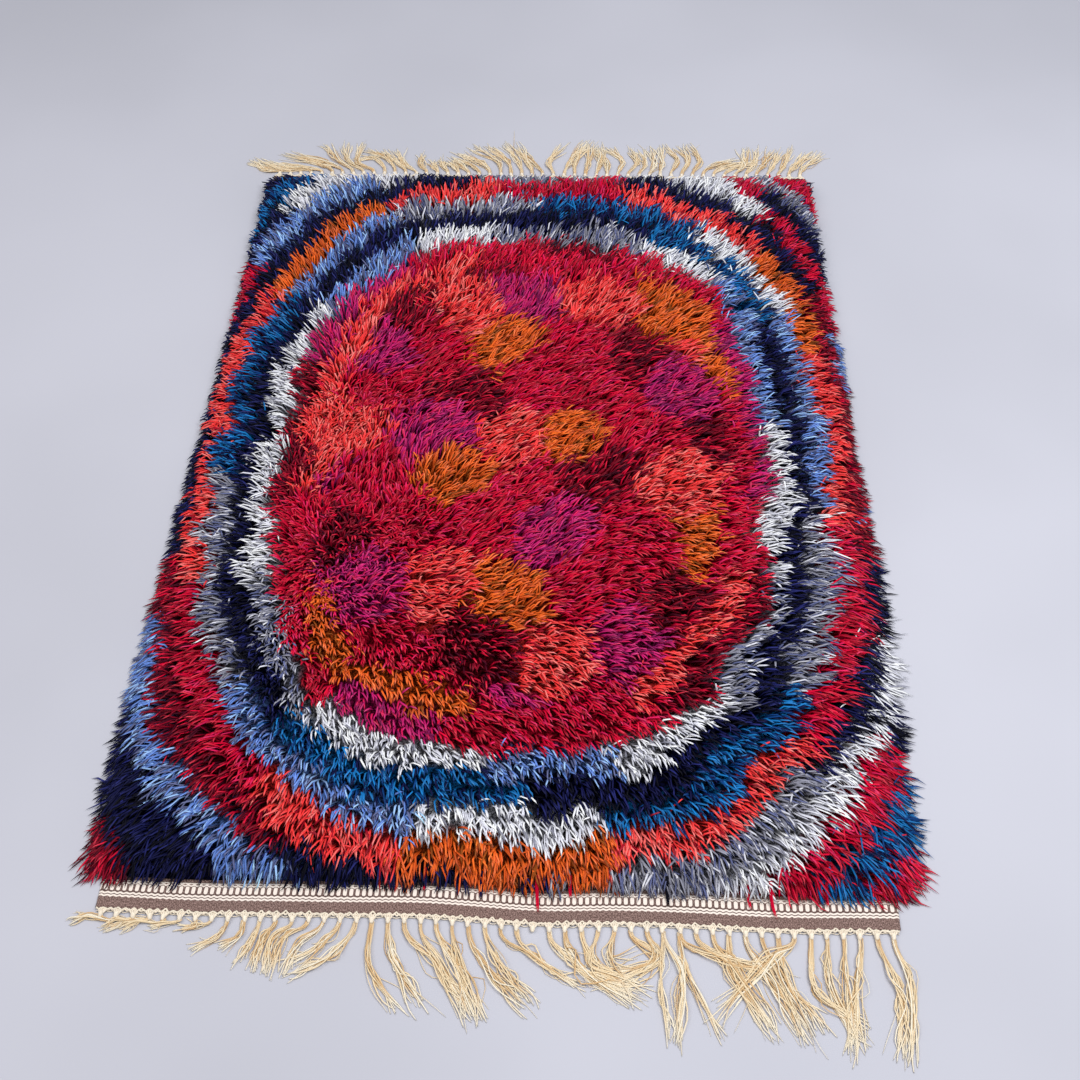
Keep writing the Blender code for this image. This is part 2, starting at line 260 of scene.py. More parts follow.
class RUG_PG_wool(bpy.types.PropertyGroup):
    """The shades of the pile's wool."""

    crimson: colour("Crimson", "Main red of the field", 206, 4, 50)
    deep_red: colour("Deep red", "Darker red in the crimson patches", 154, 4, 34)
    raspberry: colour("Raspberry", "Pinker red in the crimson patches", 210, 26, 84)
    magenta: colour("Magenta", "Main shade of the magenta patches", 194, 28, 106)
    plum: colour("Plum", "Dark shade of the magenta patches", 128, 20, 82)
    burgundy: colour("Burgundy", "Main shade of the dark red patches", 124, 4, 32)
    black_plum: colour("Black plum", "Darkest red", 66, 4, 26)
    coral: colour("Coral", "Main shade of the coral patches", 244, 56, 56)
    salmon: colour("Salmon", "Light shade of the coral patches", 255, 108, 102)
    rust: colour("Rust", "Main orange", 238, 104, 36)
    brown_rust: colour("Brown rust", "Darker orange", 208, 82, 26)
    olive: colour("Olive", "Brown strands among the orange", 140, 70, 22)
    navy: colour("Navy", "Main dark blue", 18, 20, 62)
    night: colour("Night", "Near black", 10, 10, 24)
    indigo: colour("Indigo", "Lighter strands among the navy", 34, 38, 98)
    azure: colour("Azure", "Main bright blue", 22, 112, 178)
    deep_azure: colour("Deep azure", "Darker bright blue", 8, 56, 114)
    periwinkle: colour("Periwinkle", "Main soft blue", 98, 132, 204)
    pale_blue: colour("Pale blue", "Light strands among the soft blue", 150, 186, 236)
    slate: colour("Slate", "Blue grey", 92, 98, 136)
    grey: colour("Grey", "Main mid grey", 138, 138, 152)
    pale_grey: colour("Pale grey", "Main light grey", 214, 214, 224)
    white: colour("White", "Lightest yarn", 244, 244, 248)


class RUG_PG_field(bpy.types.PropertyGroup):
    """Sizes of the cloth and its pile."""

    cloth_width: length("Cloth width", "Width of the woven ground", 1.36)
    field_length: length("Field length", "Length of the ground between the webbings", 1.82)
    ground_thickness: length("Ground thickness", "Thickness of the woven ground", 0.0025)
    rim_height: length("Rim height", "Height of the pile at the cloth's edge", 0.028)
    crown_height: length("Crown height", "Height of the pile inside its edge", 0.042)
    lump_height: length("Lump height", "How far the pile's top rises and falls", 0.011)
    highest: length("Highest", "The most that a yarn rises above the floor", 0.061)
    outermost: length("Outermost", "The most that a yarn lies from the rug's middle line", 0.766)
    shoulder: length("Shoulder", "How far in from the edge the pile slopes down", 0.060)
    overhang: length("Overhang", "How far the pile falls past the cloth's long edges", 0.052)
    tuft_spacing: length("Tuft spacing", "Distance between tufts", 0.0172, 0.008, 0.1)
    tuft_radius: length("Tuft radius", "How far a tuft's yarns stand apart at its foot", 0.0092)
    yarns_per_tuft: IntProperty(
        name="Yarns per tuft", description="Yarns in each tuft", default=5, min=1, max=12
    )
    yarn_radius: length("Yarn radius", "Half the thickness of a pile yarn", 0.0019)
    reach: length("Reach", "How far a yarn's tip lies from its foot", 0.056)


class RUG_PG_webbing(bpy.types.PropertyGroup):
    """Sizes and colours of the woven tapes."""

    width: length("Width", "Width of the tape", 0.050)
    thickness: length("Thickness", "Thickness of the tape", 0.0028)
    oval_pitch: length("Oval pitch", "Distance between the woven ovals", 0.0109, 0.002)
    brown: colour("Brown", "The tape's ground", 158, 130, 122)
    dark_brown: colour("Dark brown", "Dark threads of the ground", 88, 66, 60)
    cream: colour("Cream", "Ovals and wavy lines", 246, 232, 220)


class RUG_PG_fringe(bpy.types.PropertyGroup):
    """Sizes and colours of the fringes."""

    knots: IntProperty(name="Knots", description="Knots along each end", default=50, min=2, max=200)
    knot_length: length("Knot length", "From the tape's edge to the end of a knot", 0.0155)
    knot_radius: length("Knot radius", "Half the width of a knot's wrapped neck", 0.0040)
    yarn_radius: length("Yarn radius", "Half the thickness of a fringe yarn", 0.0013)
    heading_radius: length("Heading radius", "Half the thickness of the heading's yarns", 0.0013)
    straw: colour("Straw", "Main shade of the yarn", 244, 220, 180)
    pale_straw: colour("Pale straw", "Light yarns and frayed tips", 250, 238, 214)
    tan: colour("Tan", "Darker yarns", 222, 184, 134)
    wrap: colour("Wrapping", "The knots and the heading", 246, 232, 210)


class RUG_PG_stage(bpy.types.PropertyGroup):
    """The studio: floor, lights and camera."""

    floor_colour: colour("Floor", "Pale studio floor", 182, 182, 191)
    floor_size: length("Floor size", "Side of the floor", 16.0, 1.0, 100.0)
    lens: amount("Lens", "Focal length in millimetres", 42.49, min=10.0, max=200.0)
    camera_place: FloatVectorProperty(
        name="Camera place",
        description="Where the camera stands",
        default=(0.1565, -1.6823, 2.1200),
        size=3,
        subtype="TRANSLATION",
    )
    azimuth: amount("Azimuth", "Turn of the view from the rug's length", -0.07095, subtype="ANGLE")
    tilt: amount("Tilt", "How far down the camera looks", 0.95122, subtype="ANGLE")
    roll: amount("Roll", "Turn about the line of sight", -0.040474, subtype="ANGLE")
    key_power: amount("Key light", "Power of the key light", 146.0, min=0.0)
    fill_power: amount("Fill light", "Power of the fill light", 72.0, min=0.0)
    sky: amount("Sky", "Strength of the light from all round", 0.54, min=0.0)


# Shapes of the cloth and its pile


def ease(part):
    part = np.clip(part, 0.0, 1.0)
    return part * part * (3.0 - 2.0 * part)


def rising(least, share):
    """Least where the share is 0, and 1 where it is 1."""
    return least + (1.0 - least) * share


def field_end(field, end, x):
    """Y of the field's edge at x: end is -1 for the near end and 1 for the far one."""
    along = x / field.cloth_width + 0.5
    waves = NEAR_BOW if end < 0 else FAR_BOW
    out = sum(wave.out * np.exp(-(((along - wave.share) / wave.spread) ** 2)) for wave in waves)
    return end * (field.field_length / 2 + out)


def inset(field, x, y):
    """How far a place lies inside the cloth's edge, below zero outside it."""
    to_side = field.cloth_width / 2 - np.abs(x)
    to_far = field_end(field, 1, x) - y
    to_near = y - field_end(field, -1, x)
    return np.minimum(to_side, np.minimum(to_far, to_near))


def between(grid, i, j, part_u, part_v):
    """The value on a grid between its cell i, j and the next ones, which wrap round."""
    next_i, next_j = (i + 1) % grid.shape[0], (j + 1) % grid.shape[1]
    low = grid[i, j] * (1 - part_u) + grid[next_i, j] * part_u
    high = grid[i, next_j] * (1 - part_u) + grid[next_i, next_j] * part_u
    return low * (1 - part_v) + high * part_v


def soft_noise(x, y, spacing, seed):
    """Smooth noise from -1 to 1, with lumps about one spacing across."""
    cells = 64
    lattice = np.random.default_rng(seed).uniform(-1.0, 1.0, (cells, cells))
    u, v = np.asarray(x) / spacing + cells, np.asarray(y) / spacing + cells
    i, j = np.floor(u).astype(int), np.floor(v).astype(int)
    return between(lattice, i % cells, j % cells, ease(u - i), ease(v - j))


def uneven_noise(x, y, spacings, seed):
    """Smooth noise at two spacings, the finer one half as strong."""
    wide, fine = spacings
    return soft_noise(x, y, wide, seed) + 0.5 * soft_noise(x, y, fine, seed + 2)


# The lumps of the pile's top, sampled on a grid of places
LUMP_SPACING = 0.105
FINE_LUMP_SPACING = 0.050
FINE_LUMP_SHARE = 0.45
LUMP_MAP_STEP = 0.02
LUMP_MAP_HALF = (0.80, 1.04)


def lump_map():
    """The pile's lumps, as the frame's slab has them, on a grid of places."""
    xs = np.arange(-LUMP_MAP_HALF[0], LUMP_MAP_HALF[0], LUMP_MAP_STEP)
    ys = np.arange(-LUMP_MAP_HALF[1], LUMP_MAP_HALF[1], LUMP_MAP_STEP)

    def lump(x, y):
        place = Vector((x, y, 0.0))
        fine = noise.noise(place / FINE_LUMP_SPACING)
        return noise.noise(place / LUMP_SPACING) + FINE_LUMP_SHARE * fine

    return np.array([[lump(x, y) for y in ys] for x in xs])


LUMPS = lump_map()


def lumps(x, y):
    u = np.clip((x + LUMP_MAP_HALF[0]) / LUMP_MAP_STEP, 0, LUMPS.shape[0] - 2)
    v = np.clip((y + LUMP_MAP_HALF[1]) / LUMP_MAP_STEP, 0, LUMPS.shape[1] - 2)
    i, j = u.astype(int), v.astype(int)
    return between(LUMPS, i, j, u - i, v - j)


# The share of the pile's rise that is left at the cloth's long edges, and how much of its
# height falls away over the overhang
EDGE_RISE = 0.45
OVERHANG_FALL = 0.85

# How the pile falls at an end of the field: from how far outside it, over what way, and to what
# share of its height
EndFall = namedtuple("EndFall", "outside way least")
NEAR_FALL = EndFall(0.010, 0.048, 0.16)
FAR_FALL = EndFall(0.050, 0.056, 0.34)


def left_by(fall, inside):
    """The share of the pile's height that an end's fall leaves, so far inside that end."""
    return rising(fall.least, ease((inside + fall.outside) / fall.way) ** 0.8)


def pile_height(field, x, y):
    """Height of the pile's top, which falls to the floor outside the cloth."""
    to_side = field.cloth_width / 2 - np.abs(x)
    to_near = y - field_end(field, -1, x)
    to_far = field_end(field, 1, x) - y
    crown = field.crown_height + field.lump_height * lumps(x, y)
    slope = rising(EDGE_RISE, ease(to_side / field.shoulder))
    inside = field.rim_height + (crown - field.rim_height) * slope
    outside = field.rim_height * (1.0 - OVERHANG_FALL * ease(-to_side / field.overhang))
    height = np.where(to_side > 0.0, inside, outside)
    return height * left_by(NEAR_FALL, to_near) * left_by(FAR_FALL, to_far)


# How strongly the pile lies outwards at its edges, its way in the middle with the swirls in it,
# how much it lies towards the near end, and how strongly it lies where it is sure
OUTWARDS = 1.35
MIDDLE_WAY = (0.62, 0.34)
SWIRL = 0.40
SWIRL_SPACINGS = (0.24, 0.10)
NEARWARDS = 0.10
SURE_SIZE = 0.50


def lean(field, x, y):
    """Which way the pile lies and how surely: outwards near the edges, and aslant in the middle."""
    side = 2 * x / field.cloth_width
    end = 2 * y / field.field_length
    calm = 1.0 - np.clip(np.maximum(np.abs(side), np.abs(end)), 0, 1) ** 3
    swirl_x, swirl_y = (uneven_noise(x, y, SWIRL_SPACINGS, seed) for seed in (41, 42))
    way_x = OUTWARDS * side * np.abs(side) ** 0.8 + calm * (MIDDLE_WAY[0] + SWIRL * swirl_x)
    way_y = OUTWARDS * end * np.abs(end) ** 1.1 + calm * (MIDDLE_WAY[1] + SWIRL * swirl_y)
    way_y = way_y - NEARWARDS
    size = np.hypot(way_x, way_y) + 1e-6
    return way_x / size, way_y / size, np.clip(size / SURE_SIZE, 0.0, 1.0)


def side_reach(field, x, y):
    """How far past the nearer long edge the tips lie."""
    along, left, right = np.array(SIDE_REACHES).T
    place = 2 * y / field.field_length
    return np.where(x < 0, np.interp(place, along, left), np.interp(place, along, right))


def near_reach(x):
    """How far the tips lie over the near webbing."""
    place, over = np.array(NEAR_REACHES).T
    return np.interp(x, place, over)


def held_back(reach, foot, tip, limit):
    """The reach, cut where the tip would pass the limit."""
    room = (limit - foot) / np.maximum(tip - foot, 0.001)
    return reach * np.where(tip > limit, np.clip(room, 0.25, 1.0), 1.0)


# The design of the pile: rings with rounded corners, about a middle field of patches


# The size of the field and of a ring's step, as shares of the way from the middle to the edge
MIDDLE_FIELD = 0.60
RING_STEP = 0.060
RING_SQUARENESS = 2.7
# How far the rings and patches waver, and over what spacings
WAVER = 0.020
WAVER_SPACINGS = (0.09, 0.035)
PATCH_SPACING = 0.150


def patch_of(x, y):
    """The number of the rounded patch that each place of the middle field lies in."""
    rng = np.random.default_rng(9)
    columns, rows, scatter, row_share = 12, 16, 0.24, 0.86
    best, patch = np.full(np.shape(x), np.inf), np.zeros(np.shape(x), int)
    for row in range(rows):
        for column in range(columns):
            across = column - (columns - 1) / 2 + 0.5 * (row % 2)
            at_x = (across + rng.uniform(-scatter, scatter)) * PATCH_SPACING
            up = row - (rows - 1) / 2
            at_y = (up + rng.uniform(-scatter, scatter)) * PATCH_SPACING * row_share
            pick = (4 * column + 3 * row) % len(FIELD_PATCHES)
            apart = np.hypot(x - at_x, y - at_y)
            patch = np.where(apart < best, pick, patch)
            best = np.minimum(best, apart)
    return patch


def blend_of(field, x, y):
    """The number of the blend at each place of the cloth."""
    drift_x = x + WAVER * uneven_noise(x, y, WAVER_SPACINGS, 3)
    drift_y = y + WAVER * uneven_noise(x, y, WAVER_SPACINGS, 4)
    side = np.abs(2 * drift_x / field.cloth_width)
    end = np.abs(2 * drift_y / field.field_length)
    out = (side**RING_SQUARENESS + end**RING_SQUARENESS) ** (1 / RING_SQUARENESS)
    ring = np.clip(((out - MIDDLE_FIELD) / RING_STEP).astype(int), 0, len(RINGS) - 1)
    turn = np.arctan2(drift_y / field.field_length, drift_x / field.cloth_width) / (2 * math.pi) + 0.5

    blend = np.zeros(np.shape(x), int)
    rng = np.random.default_rng(17)
    for number, names in enumerate(RINGS):
        # Nine, eleven or thirteen long patches a ring, so that their ends stay out of line
        parts = 9 + 2 * (number % 3)
        starts = (np.arange(parts) + rng.uniform(-0.3, 0.3, parts)) / parts
        starts = np.sort(starts + rng.uniform(0, 0.1))
        place = np.searchsorted(starts, turn % 1.0) % parts
        picks = np.array([BLEND_NAMES.index(names[k % len(names)]) for k in range(parts)])
        blend = np.where(ring == number, picks[place], blend)
    patches = np.array([BLEND_NAMES.index(name) for name in FIELD_PATCHES])
    return np.where(out < MIDDLE_FIELD, patches[patch_of(drift_x, drift_y)], blend)


def yarn_shades(wool, blends, rng):
    """One shade for each yarn, picked by chance within its blend."""
    table = np.array(
        [[tuple(getattr(wool, shade)) for shade in BLENDS[name][:3]] for name in BLEND_NAMES]
    )
    main = np.array([BLENDS[name].main_share for name in BLEND_NAMES])[blends]
    second = np.array([BLENDS[name].second_share for name in BLEND_NAMES])[blends]
    chance = rng.random(len(blends))
    pick = (chance > main).astype(int) + (chance > main + second)
    shades = table[blends, pick]
    return shades * rng.uniform(0.80, 1.16, (len(blends), 1))


# Meshes


# The corners of all faces in turn, each with its place in the baked map and along the threads
Part = namedtuple("Part", "points colours corners sizes cell run")

# The part of a yarn's cell in the baked map that its sides and its length fill, and of a body's
YARN_SIDES = (0.04, 0.96)
YARN_LENGTH = (0.14, 0.96)
BODY_GIRTH = (0.06, 0.94)


def joined(parts):
    """Several parts as one."""
    offsets = np.cumsum([0] + [len(part.points) for part in parts[:-1]])
    moved = [part._replace(corners=part.corners + offset) for part, offset in zip(parts, offsets)]
    return Part(*map(np.concatenate, zip(*moved)))


def yarn_part(paths, radii, colours, sides=3, first_cell=0, grid=(1, 1)):
    """Many closed yarns. paths is yarns by stations by 3, and radii and colours go with it.

    Each yarn ends in a point, and has a cell of its own in the grid of the flat map.
    """
    count, stations, _ = paths.shape
    run = np.gradient(paths, axis=1)
    run /= np.linalg.norm(run, axis=2, keepdims=True) + 1e-12
    side = np.cross(run, np.array([0.03, 0.05, 1.0]))
    side /= np.linalg.norm(side, axis=2, keepdims=True) + 1e-12
    lift = np.cross(side, run)
    angle = (np.arange(sides) * 2 + 1) * math.pi / sides + math.pi / 2
    ring = np.cos(angle)[:, None] * side[:, :, None] + np.sin(angle)[:, None] * lift[:, :, None]
    rings = paths[:, :-1, None] + radii[:, :-1, None, None] * ring[:, :-1]
    rings = rings.reshape(count, (stations - 1) * sides, 3)
    points = np.concatenate([rings, paths[:, -1:]], axis=1)
    ring_colours = np.repeat(colours[:, :-1], sides, axis=1)
    point_colours = np.concatenate([ring_colours, colours[:, -1:]], axis=1)

    along, beside = np.linspace(*YARN_LENGTH, stations), np.linspace(*YARN_SIDES, sides + 1)
    tip = stations - 1
    faces, cells, sizes = [], [], []
    for k in range(tip):
        low, high = along[k], along[k + 1]
        for j in range(sides):
            here, following = k * sides + j, k * sides + (j + 1) % sides
            left, right = beside[j], beside[j + 1]
            if k + 1 < tip:
                faces += [here, here + sides, following + sides, following]
                cells += [(left, low), (left, high), (right, high), (right, low)]
                sizes.append(4)
            else:
                faces += [here, tip * sides, following]
                cells += [(left, low), ((left + right) / 2, high), (right, low)]
                sizes.append(3)
    faces += list(range(sides))
    cells += [(0.5 + 0.4 * math.cos(a), 0.06 + 0.05 * math.sin(a)) for a in angle]
    sizes.append(sides)

    per_yarn = points.shape[1]
    corners = (np.array(faces) + per_yarn * np.arange(count)[:, None]).ravel()
    cells = np.array(cells)
    number = first_cell + np.arange(count)
    origin = np.stack([number % grid[0], number // grid[0]], axis=1)
    cell = (origin[:, None] + cells) / np.array(grid)
    lengths = np.linalg.norm(np.diff(paths, axis=1), axis=2).sum(axis=1)
    run_map = np.stack(
        [np.broadcast_to(cells[:, 0], (count, len(cells))), cells[:, 1] * lengths[:, None]], axis=2
    )
    return Part(
        points.reshape(-1, 3),
        point_colours.reshape(-1, 3),
        corners,
        np.tile(sizes, count),
        cell.reshape(-1, 2),
        run_map.reshape(-1, 2),
    )


def loft_part(sections, run_of=None):
    """A closed body through sections by points by 3, each section a loop seen from its start.

    run_of gives a place along the threads for each point.
    """
    count, around, _ = sections.shape
    points = sections.reshape(-1, 3)
    k, j = np.meshgrid(np.arange(count - 1), np.arange(around), indexing="ij")
    b = (j + 1) % around
    here, onward = k * around, (k + 1) * around
    quads = np.stack([here + j, here + b, onward + b, onward + j], axis=2)
    left, right = k / (count - 1), (k + 1) / (count - 1)
    girth = np.linspace(*BODY_GIRTH, around + 1)
    low, high = girth[j], girth[j + 1]
    cells = np.stack(
        [np.stack(pair, axis=2) for pair in ((left, low), (left, high), (right, high), (right, low))],
        axis=2,
    ).reshape(-1, 2)
    turns = np.arange(around) / around * 2 * math.pi
    start = np.stack([0.1 + 0.08 * np.cos(turns), 0.025 + 0.02 * np.sin(turns)], axis=1)
    stop = start + (0.5, 0.0)
    cells = np.concatenate([cells, start[::-1], stop])
    corners = np.concatenate(
        [quads.ravel(), np.arange(around)[::-1], (count - 1) * around + np.arange(around)]
    )
    sizes = np.concatenate([np.full((count - 1) * around, 4), [around, around]])
    runs = points[corners][:, :2] if run_of is None else run_of(points)[corners]
    return Part(points, np.ones_like(points), corners, sizes, cells, runs)


def make_piece(name, part, material, node):
    """Makes an object of the part, on the rug, in place of that node of the frame."""
    mesh = bpy.data.meshes.new(name)
    mesh.vertices.add(len(part.points))
    mesh.vertices.foreach_set("co", part.points.astype(np.float32).ravel())
    mesh.loops.add(len(part.corners))
    mesh.loops.foreach_set("vertex_index", part.corners.astype(np.int32))
    mesh.polygons.add(len(part.sizes))
    starts = np.cumsum(part.sizes) - part.sizes
    mesh.polygons.foreach_set("loop_start", starts.astype(np.int32))
    mesh.polygons.foreach_set("use_smooth", np.full(len(part.sizes), True))
    mesh.update(calc_edges=True)
    for label, places in ((BAKE_MAP, part.cell), (RUN_MAP, part.run)):
        layer = mesh.uv_layers.new(name=label)
        layer.data.foreach_set("uv", places.astype(np.float32).ravel())
    shades = mesh.color_attributes.new(YARN_COLOUR, "FLOAT_COLOR", "POINT")
    with_alpha = np.concatenate([part.colours, np.ones((len(part.colours), 1))], axis=1)
    shades.data.foreach_set("color", with_alpha.astype(np.float32).ravel())
    mesh.materials.append(material)
    if mesh.validate():
        raise RuntimeError(f"{name} has faces that Blender had to mend")
    piece = bpy.data.objects.new(name, mesh)
    bpy.context.scene.collection.objects.link(piece)
    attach(piece, "root")
    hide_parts(node)
    return piece


# Materials


class Nodes:
    """Short ways to add and join the nodes of one material."""

    def __init__(self, name, roughness, sheen=0.0, specular=0.3):
        self.material = bpy.data.materials.new(name)
        self.material.use_nodes = True
        self.tree = self.material.node_tree
        self.shader = self.tree.nodes["Principled BSDF"]
        finish = {"Roughness": roughness, "Sheen Weight": sheen, "Specular IOR Level": specular}
        for label, value in finish.items():
            self.shader.inputs[label].default_value = value

    def put(self, socket, value):
        if isinstance(value, bpy.types.NodeSocket):
            self.tree.links.new(value, socket)
        else:
            socket.default_value = value

    def add(self, kind, inputs=(), **settings):
        """Adds a node, with its settings, and with its inputs by their places or their names."""
        node = self.tree.nodes.new(kind)
        for name, value in settings.items():
            setattr(node, name, value)
        for key, value in inputs.items() if isinstance(inputs, dict) else enumerate(inputs):
            self.put(node.inputs[key], value)
        return node

    def maths(self, operation, *values):
        return self.add("ShaderNodeMath", values, operation=operation).outputs[0]

    def mix(self, factor, first, second, blend="MIX"):
        """Mixes two colours."""
        node = self.add("ShaderNodeMix", data_type="RGBA", blend_type=blend)
        for name, value in (("Factor", factor), ("A", first), ("B", second)):
            socket = next(s for s in node.inputs if s.name == name and s.enabled)
            self.put(socket, value)
        return next(s for s in node.outputs if s.enabled)

    def band(self, value, low, high):
        """0 below low, 1 above high, and smooth between them. low may be the greater."""
        ends = {"Value": value, "From Min": low, "From Max": high}
        return self.add("ShaderNodeMapRange", ends, interpolation_type="SMOOTHSTEP").outputs[0]

    def noise(self, place, scale, detail=2.0, stretch=(1.0, 1.0, 1.0)):
        spot = self.add("ShaderNodeMapping", {"Vector": place, "Scale": stretch}).outputs[0]
        inputs = {"Vector": spot, "Scale": scale, "Detail": detail}
        return self.add("ShaderNodeTexNoise", inputs).outputs[0]

    def bump(self, height, strength, distance):
        inputs = {"Strength": strength, "Distance": distance, "Height": height}
        node = self.add("ShaderNodeBump", inputs)
        self.put(self.shader.inputs["Normal"], node.outputs[0])

    def paint(self, value):
        self.put(self.shader.inputs["Base Color"], value)
        return self.material

    def paint_shaded(self, colour, tone):
        """Paints in the colour, darkened by a tone below 1."""
        grey = self.add("ShaderNodeCombineColor", (tone, tone, tone)).outputs[0]
        return self.paint(self.mix(1.0, colour, grey, "MULTIPLY"))

    def threads(self, along, across, warp_pitch, weft_pitch):
        """The crossing threads of a plain weave, as heights from -1 to 1."""
        warp = self.maths("SINE", self.maths("MULTIPLY", along, 2 * math.pi / warp_pitch))
        weft = self.maths("SINE", self.maths("MULTIPLY", across, 2 * math.pi / weft_pitch))
        return self.maths("MULTIPLY", weft, warp)

    def object_place(self):
        return self.add("ShaderNodeTexCoord").outputs["Object"]

    def run_place(self):
        """Place along the threads, as two values."""
        place = self.add("ShaderNodeUVMap", uv_map=RUN_MAP).outputs[0]
        split = self.add("ShaderNodeSeparateXYZ", (place,))
        return place, split.outputs[0], split.outputs[1]

    def yarn_colour(self):
        return self.add("ShaderNodeAttribute", attribute_name=YARN_COLOUR).outputs["Color"]


def twisted_yarn(name, turns_per_metre, fuzz, **finish):
    """Yarn in its own shades, with the twist of its plies and some fuzz; its colour is darkened at
    random among the fibres and as painted shade in the grooves between the plies.
    """
    nodes = Nodes(name, **finish)
    _, around, along = nodes.run_place()
    twist = nodes.maths("MULTIPLY_ADD", along, turns_per_metre, around)
    ply = nodes.maths("SINE", nodes.maths("MULTIPLY", twist, 4 * math.pi))
    fibres = nodes.noise(nodes.object_place(), 900.0, 3.0)
    height = nodes.maths("MULTIPLY_ADD", ply, 0.35, fibres)
    nodes.bump(height, fuzz, 0.0006)
    # Painted shade in the grooves between the plies and painted light on their crests, from the same
    # heights as the bump
    shade = nodes.band(height, -0.2, 1.1)
    return nodes.paint_shaded(nodes.yarn_colour(), nodes.maths("MULTIPLY_ADD", shade, 0.34, 0.80))


def matted_wool():
    """The matted roots of the pile, in the bed's colours, which are painted shade of the yarns above
    them; the hollows between the matted strands are painted darker and their tops lighter, as painted
    shade and painted light.
    """
    nodes = Nodes("matted_wool", 0.85, specular=0.03)
    place = nodes.object_place()
    strands = nodes.noise(place, 240.0, 3.0, (1.0, 1.0, 0.3))
    nodes.bump(strands, 0.9, 0.004)
    # Painted shade in the hollows between the matted strands and painted light on their tops, from the
    # same noise as the bump
    tone = nodes.maths("MULTIPLY_ADD", nodes.band(strands, 0.38, 0.66), 1.9, 0.25)
    return nodes.paint_shaded(nodes.yarn_colour(), tone)


# The lines woven along the tape: how far from its inner edge, half their width, and which way
# their waves run
TapeLine = namedtuple("TapeLine", "middle half wave")
CREAM_LINES = (
    TapeLine(0.0008, 0.0016, 1.0),
    TapeLine(0.0046, 0.0012, -1.0),
    TapeLine(0.0233, 0.0016, 1.0),
    TapeLine(0.0283, 0.0016, 1.0),
)
DARK_LINES = (
    TapeLine(0.0208, 0.0009, 1.0),
    TapeLine(0.0258, 0.0008, 1.0),
)
# The ovals between them: their middle line, half their height, and half their length as a share
# of their pitch
OVAL_MIDDLE = 0.0128
OVAL_HALF_HEIGHT = 0.0066
OVAL_HALF_LENGTH = 0.32


def opaque(shade):
    return (*shade, 1.0)


def woven_tape(webbing):
    """The webbing: wavy cream lines and ovals over a heathered brown band."""
    nodes = Nodes("woven_tape", 0.82, sheen=0.15, specular=0.2)
    place, along, across = nodes.run_place()
    turn = nodes.maths("MULTIPLY", along, 2 * math.pi / webbing.oval_pitch)
    wave = nodes.maths("MULTIPLY", nodes.maths("COSINE", turn), 0.0008)
    uneven = nodes.maths("MULTIPLY_ADD", nodes.noise(place, 240.0, 1.0), 0.0014, -0.0007)
    height = nodes.maths("ADD", across, uneven)

    def with_lines(pattern, lines):
        for line in lines:
            waved = nodes.maths("MULTIPLY_ADD", wave, line.wave, height)
            off = nodes.maths("ABSOLUTE", nodes.maths("SUBTRACT", waved, line.middle))
            inside = nodes.band(off, line.half + 0.0004, line.half - 0.0003)
            pattern = nodes.maths("MAXIMUM", pattern, inside)
        return pattern

    def off_middle(value, middle, half, power):
        """0 at the middle and 1 at half the size from it."""
        share = nodes.maths("DIVIDE", nodes.maths("SUBTRACT", value, middle), half)
        return nodes.maths("POWER", nodes.maths("ABSOLUTE", share), power)

    pitches = nodes.maths("FRACT", nodes.maths("DIVIDE", along, webbing.oval_pitch))
    oval = nodes.maths(
        "ADD",
        off_middle(pitches, 0.5, OVAL_HALF_LENGTH, 3.4),
        off_middle(height, OVAL_MIDDLE, OVAL_HALF_HEIGHT, 4.4),
    )
    cream = with_lines(nodes.band(oval, 1.1, 0.7), CREAM_LINES)
    rim = nodes.maths("MULTIPLY", nodes.band(oval, 0.9, 1.3), nodes.band(oval, 3.4, 2.4))
    outline = nodes.maths("MULTIPLY", with_lines(rim, DARK_LINES), 0.75)

    thread = nodes.threads(along, across, 0.0016, 0.0021)
    heather = nodes.noise(place, 500.0, 3.0, (1.3, 0.7, 1.0))
    dark, brown, pale = map(opaque, (webbing.dark_brown, webbing.brown, webbing.cream))
    ground = nodes.mix(nodes.band(heather, 0.40, 0.62), dark, brown)
    face = nodes.mix(cream, nodes.mix(outline, ground, dark), pale)
    relief = nodes.maths("MULTIPLY_ADD", thread, 0.35, nodes.maths("MULTIPLY_ADD", cream, 0.9, heather))
    nodes.bump(relief, 0.7, 0.0006)
    # Painted shade in the hollows between the woven threads
    return nodes.paint_shaded(face, nodes.maths("MULTIPLY_ADD", thread, 0.07, 0.93))


def ground_cloth(webbing):
    """The plain woven back of the rug."""
    nodes = Nodes("ground_cloth", 0.9, sheen=0.1, specular=0.2)
    place, along, across = nodes.run_place()
    thread = nodes.threads(along, across, 0.0062, 0.0044)
    heather = nodes.noise(place, 500.0, 2.0)
    dark, brown = map(opaque, (webbing.dark_brown, webbing.brown))
    face = nodes.mix(nodes.band(heather, 0.35, 0.65), dark, brown)
    nodes.bump(nodes.maths("ADD", thread, heather), 0.6, 0.0008)
    # Painted shade in the hollows between the woven threads
    return nodes.paint_shaded(face, nodes.maths("MULTIPLY_ADD", thread, 0.14, 0.86))


def studio_floor(stage):
    nodes = Nodes("studio_floor", 0.62, specular=0.25)
    place = nodes.object_place()
    cloudy = nodes.noise(place, 0.8, 3.0)
    pale = tuple(stage.floor_colour)
    light = opaque(min(1.0, level * 1.05) for level in pale)
    dull = opaque(level * 0.94 for level in pale)
    nodes.bump(nodes.noise(place, 60.0, 2.0), 0.05, 0.001)
    return nodes.paint(nodes.mix(nodes.band(cloudy, 0.3, 0.7), dull, light))


# Operators


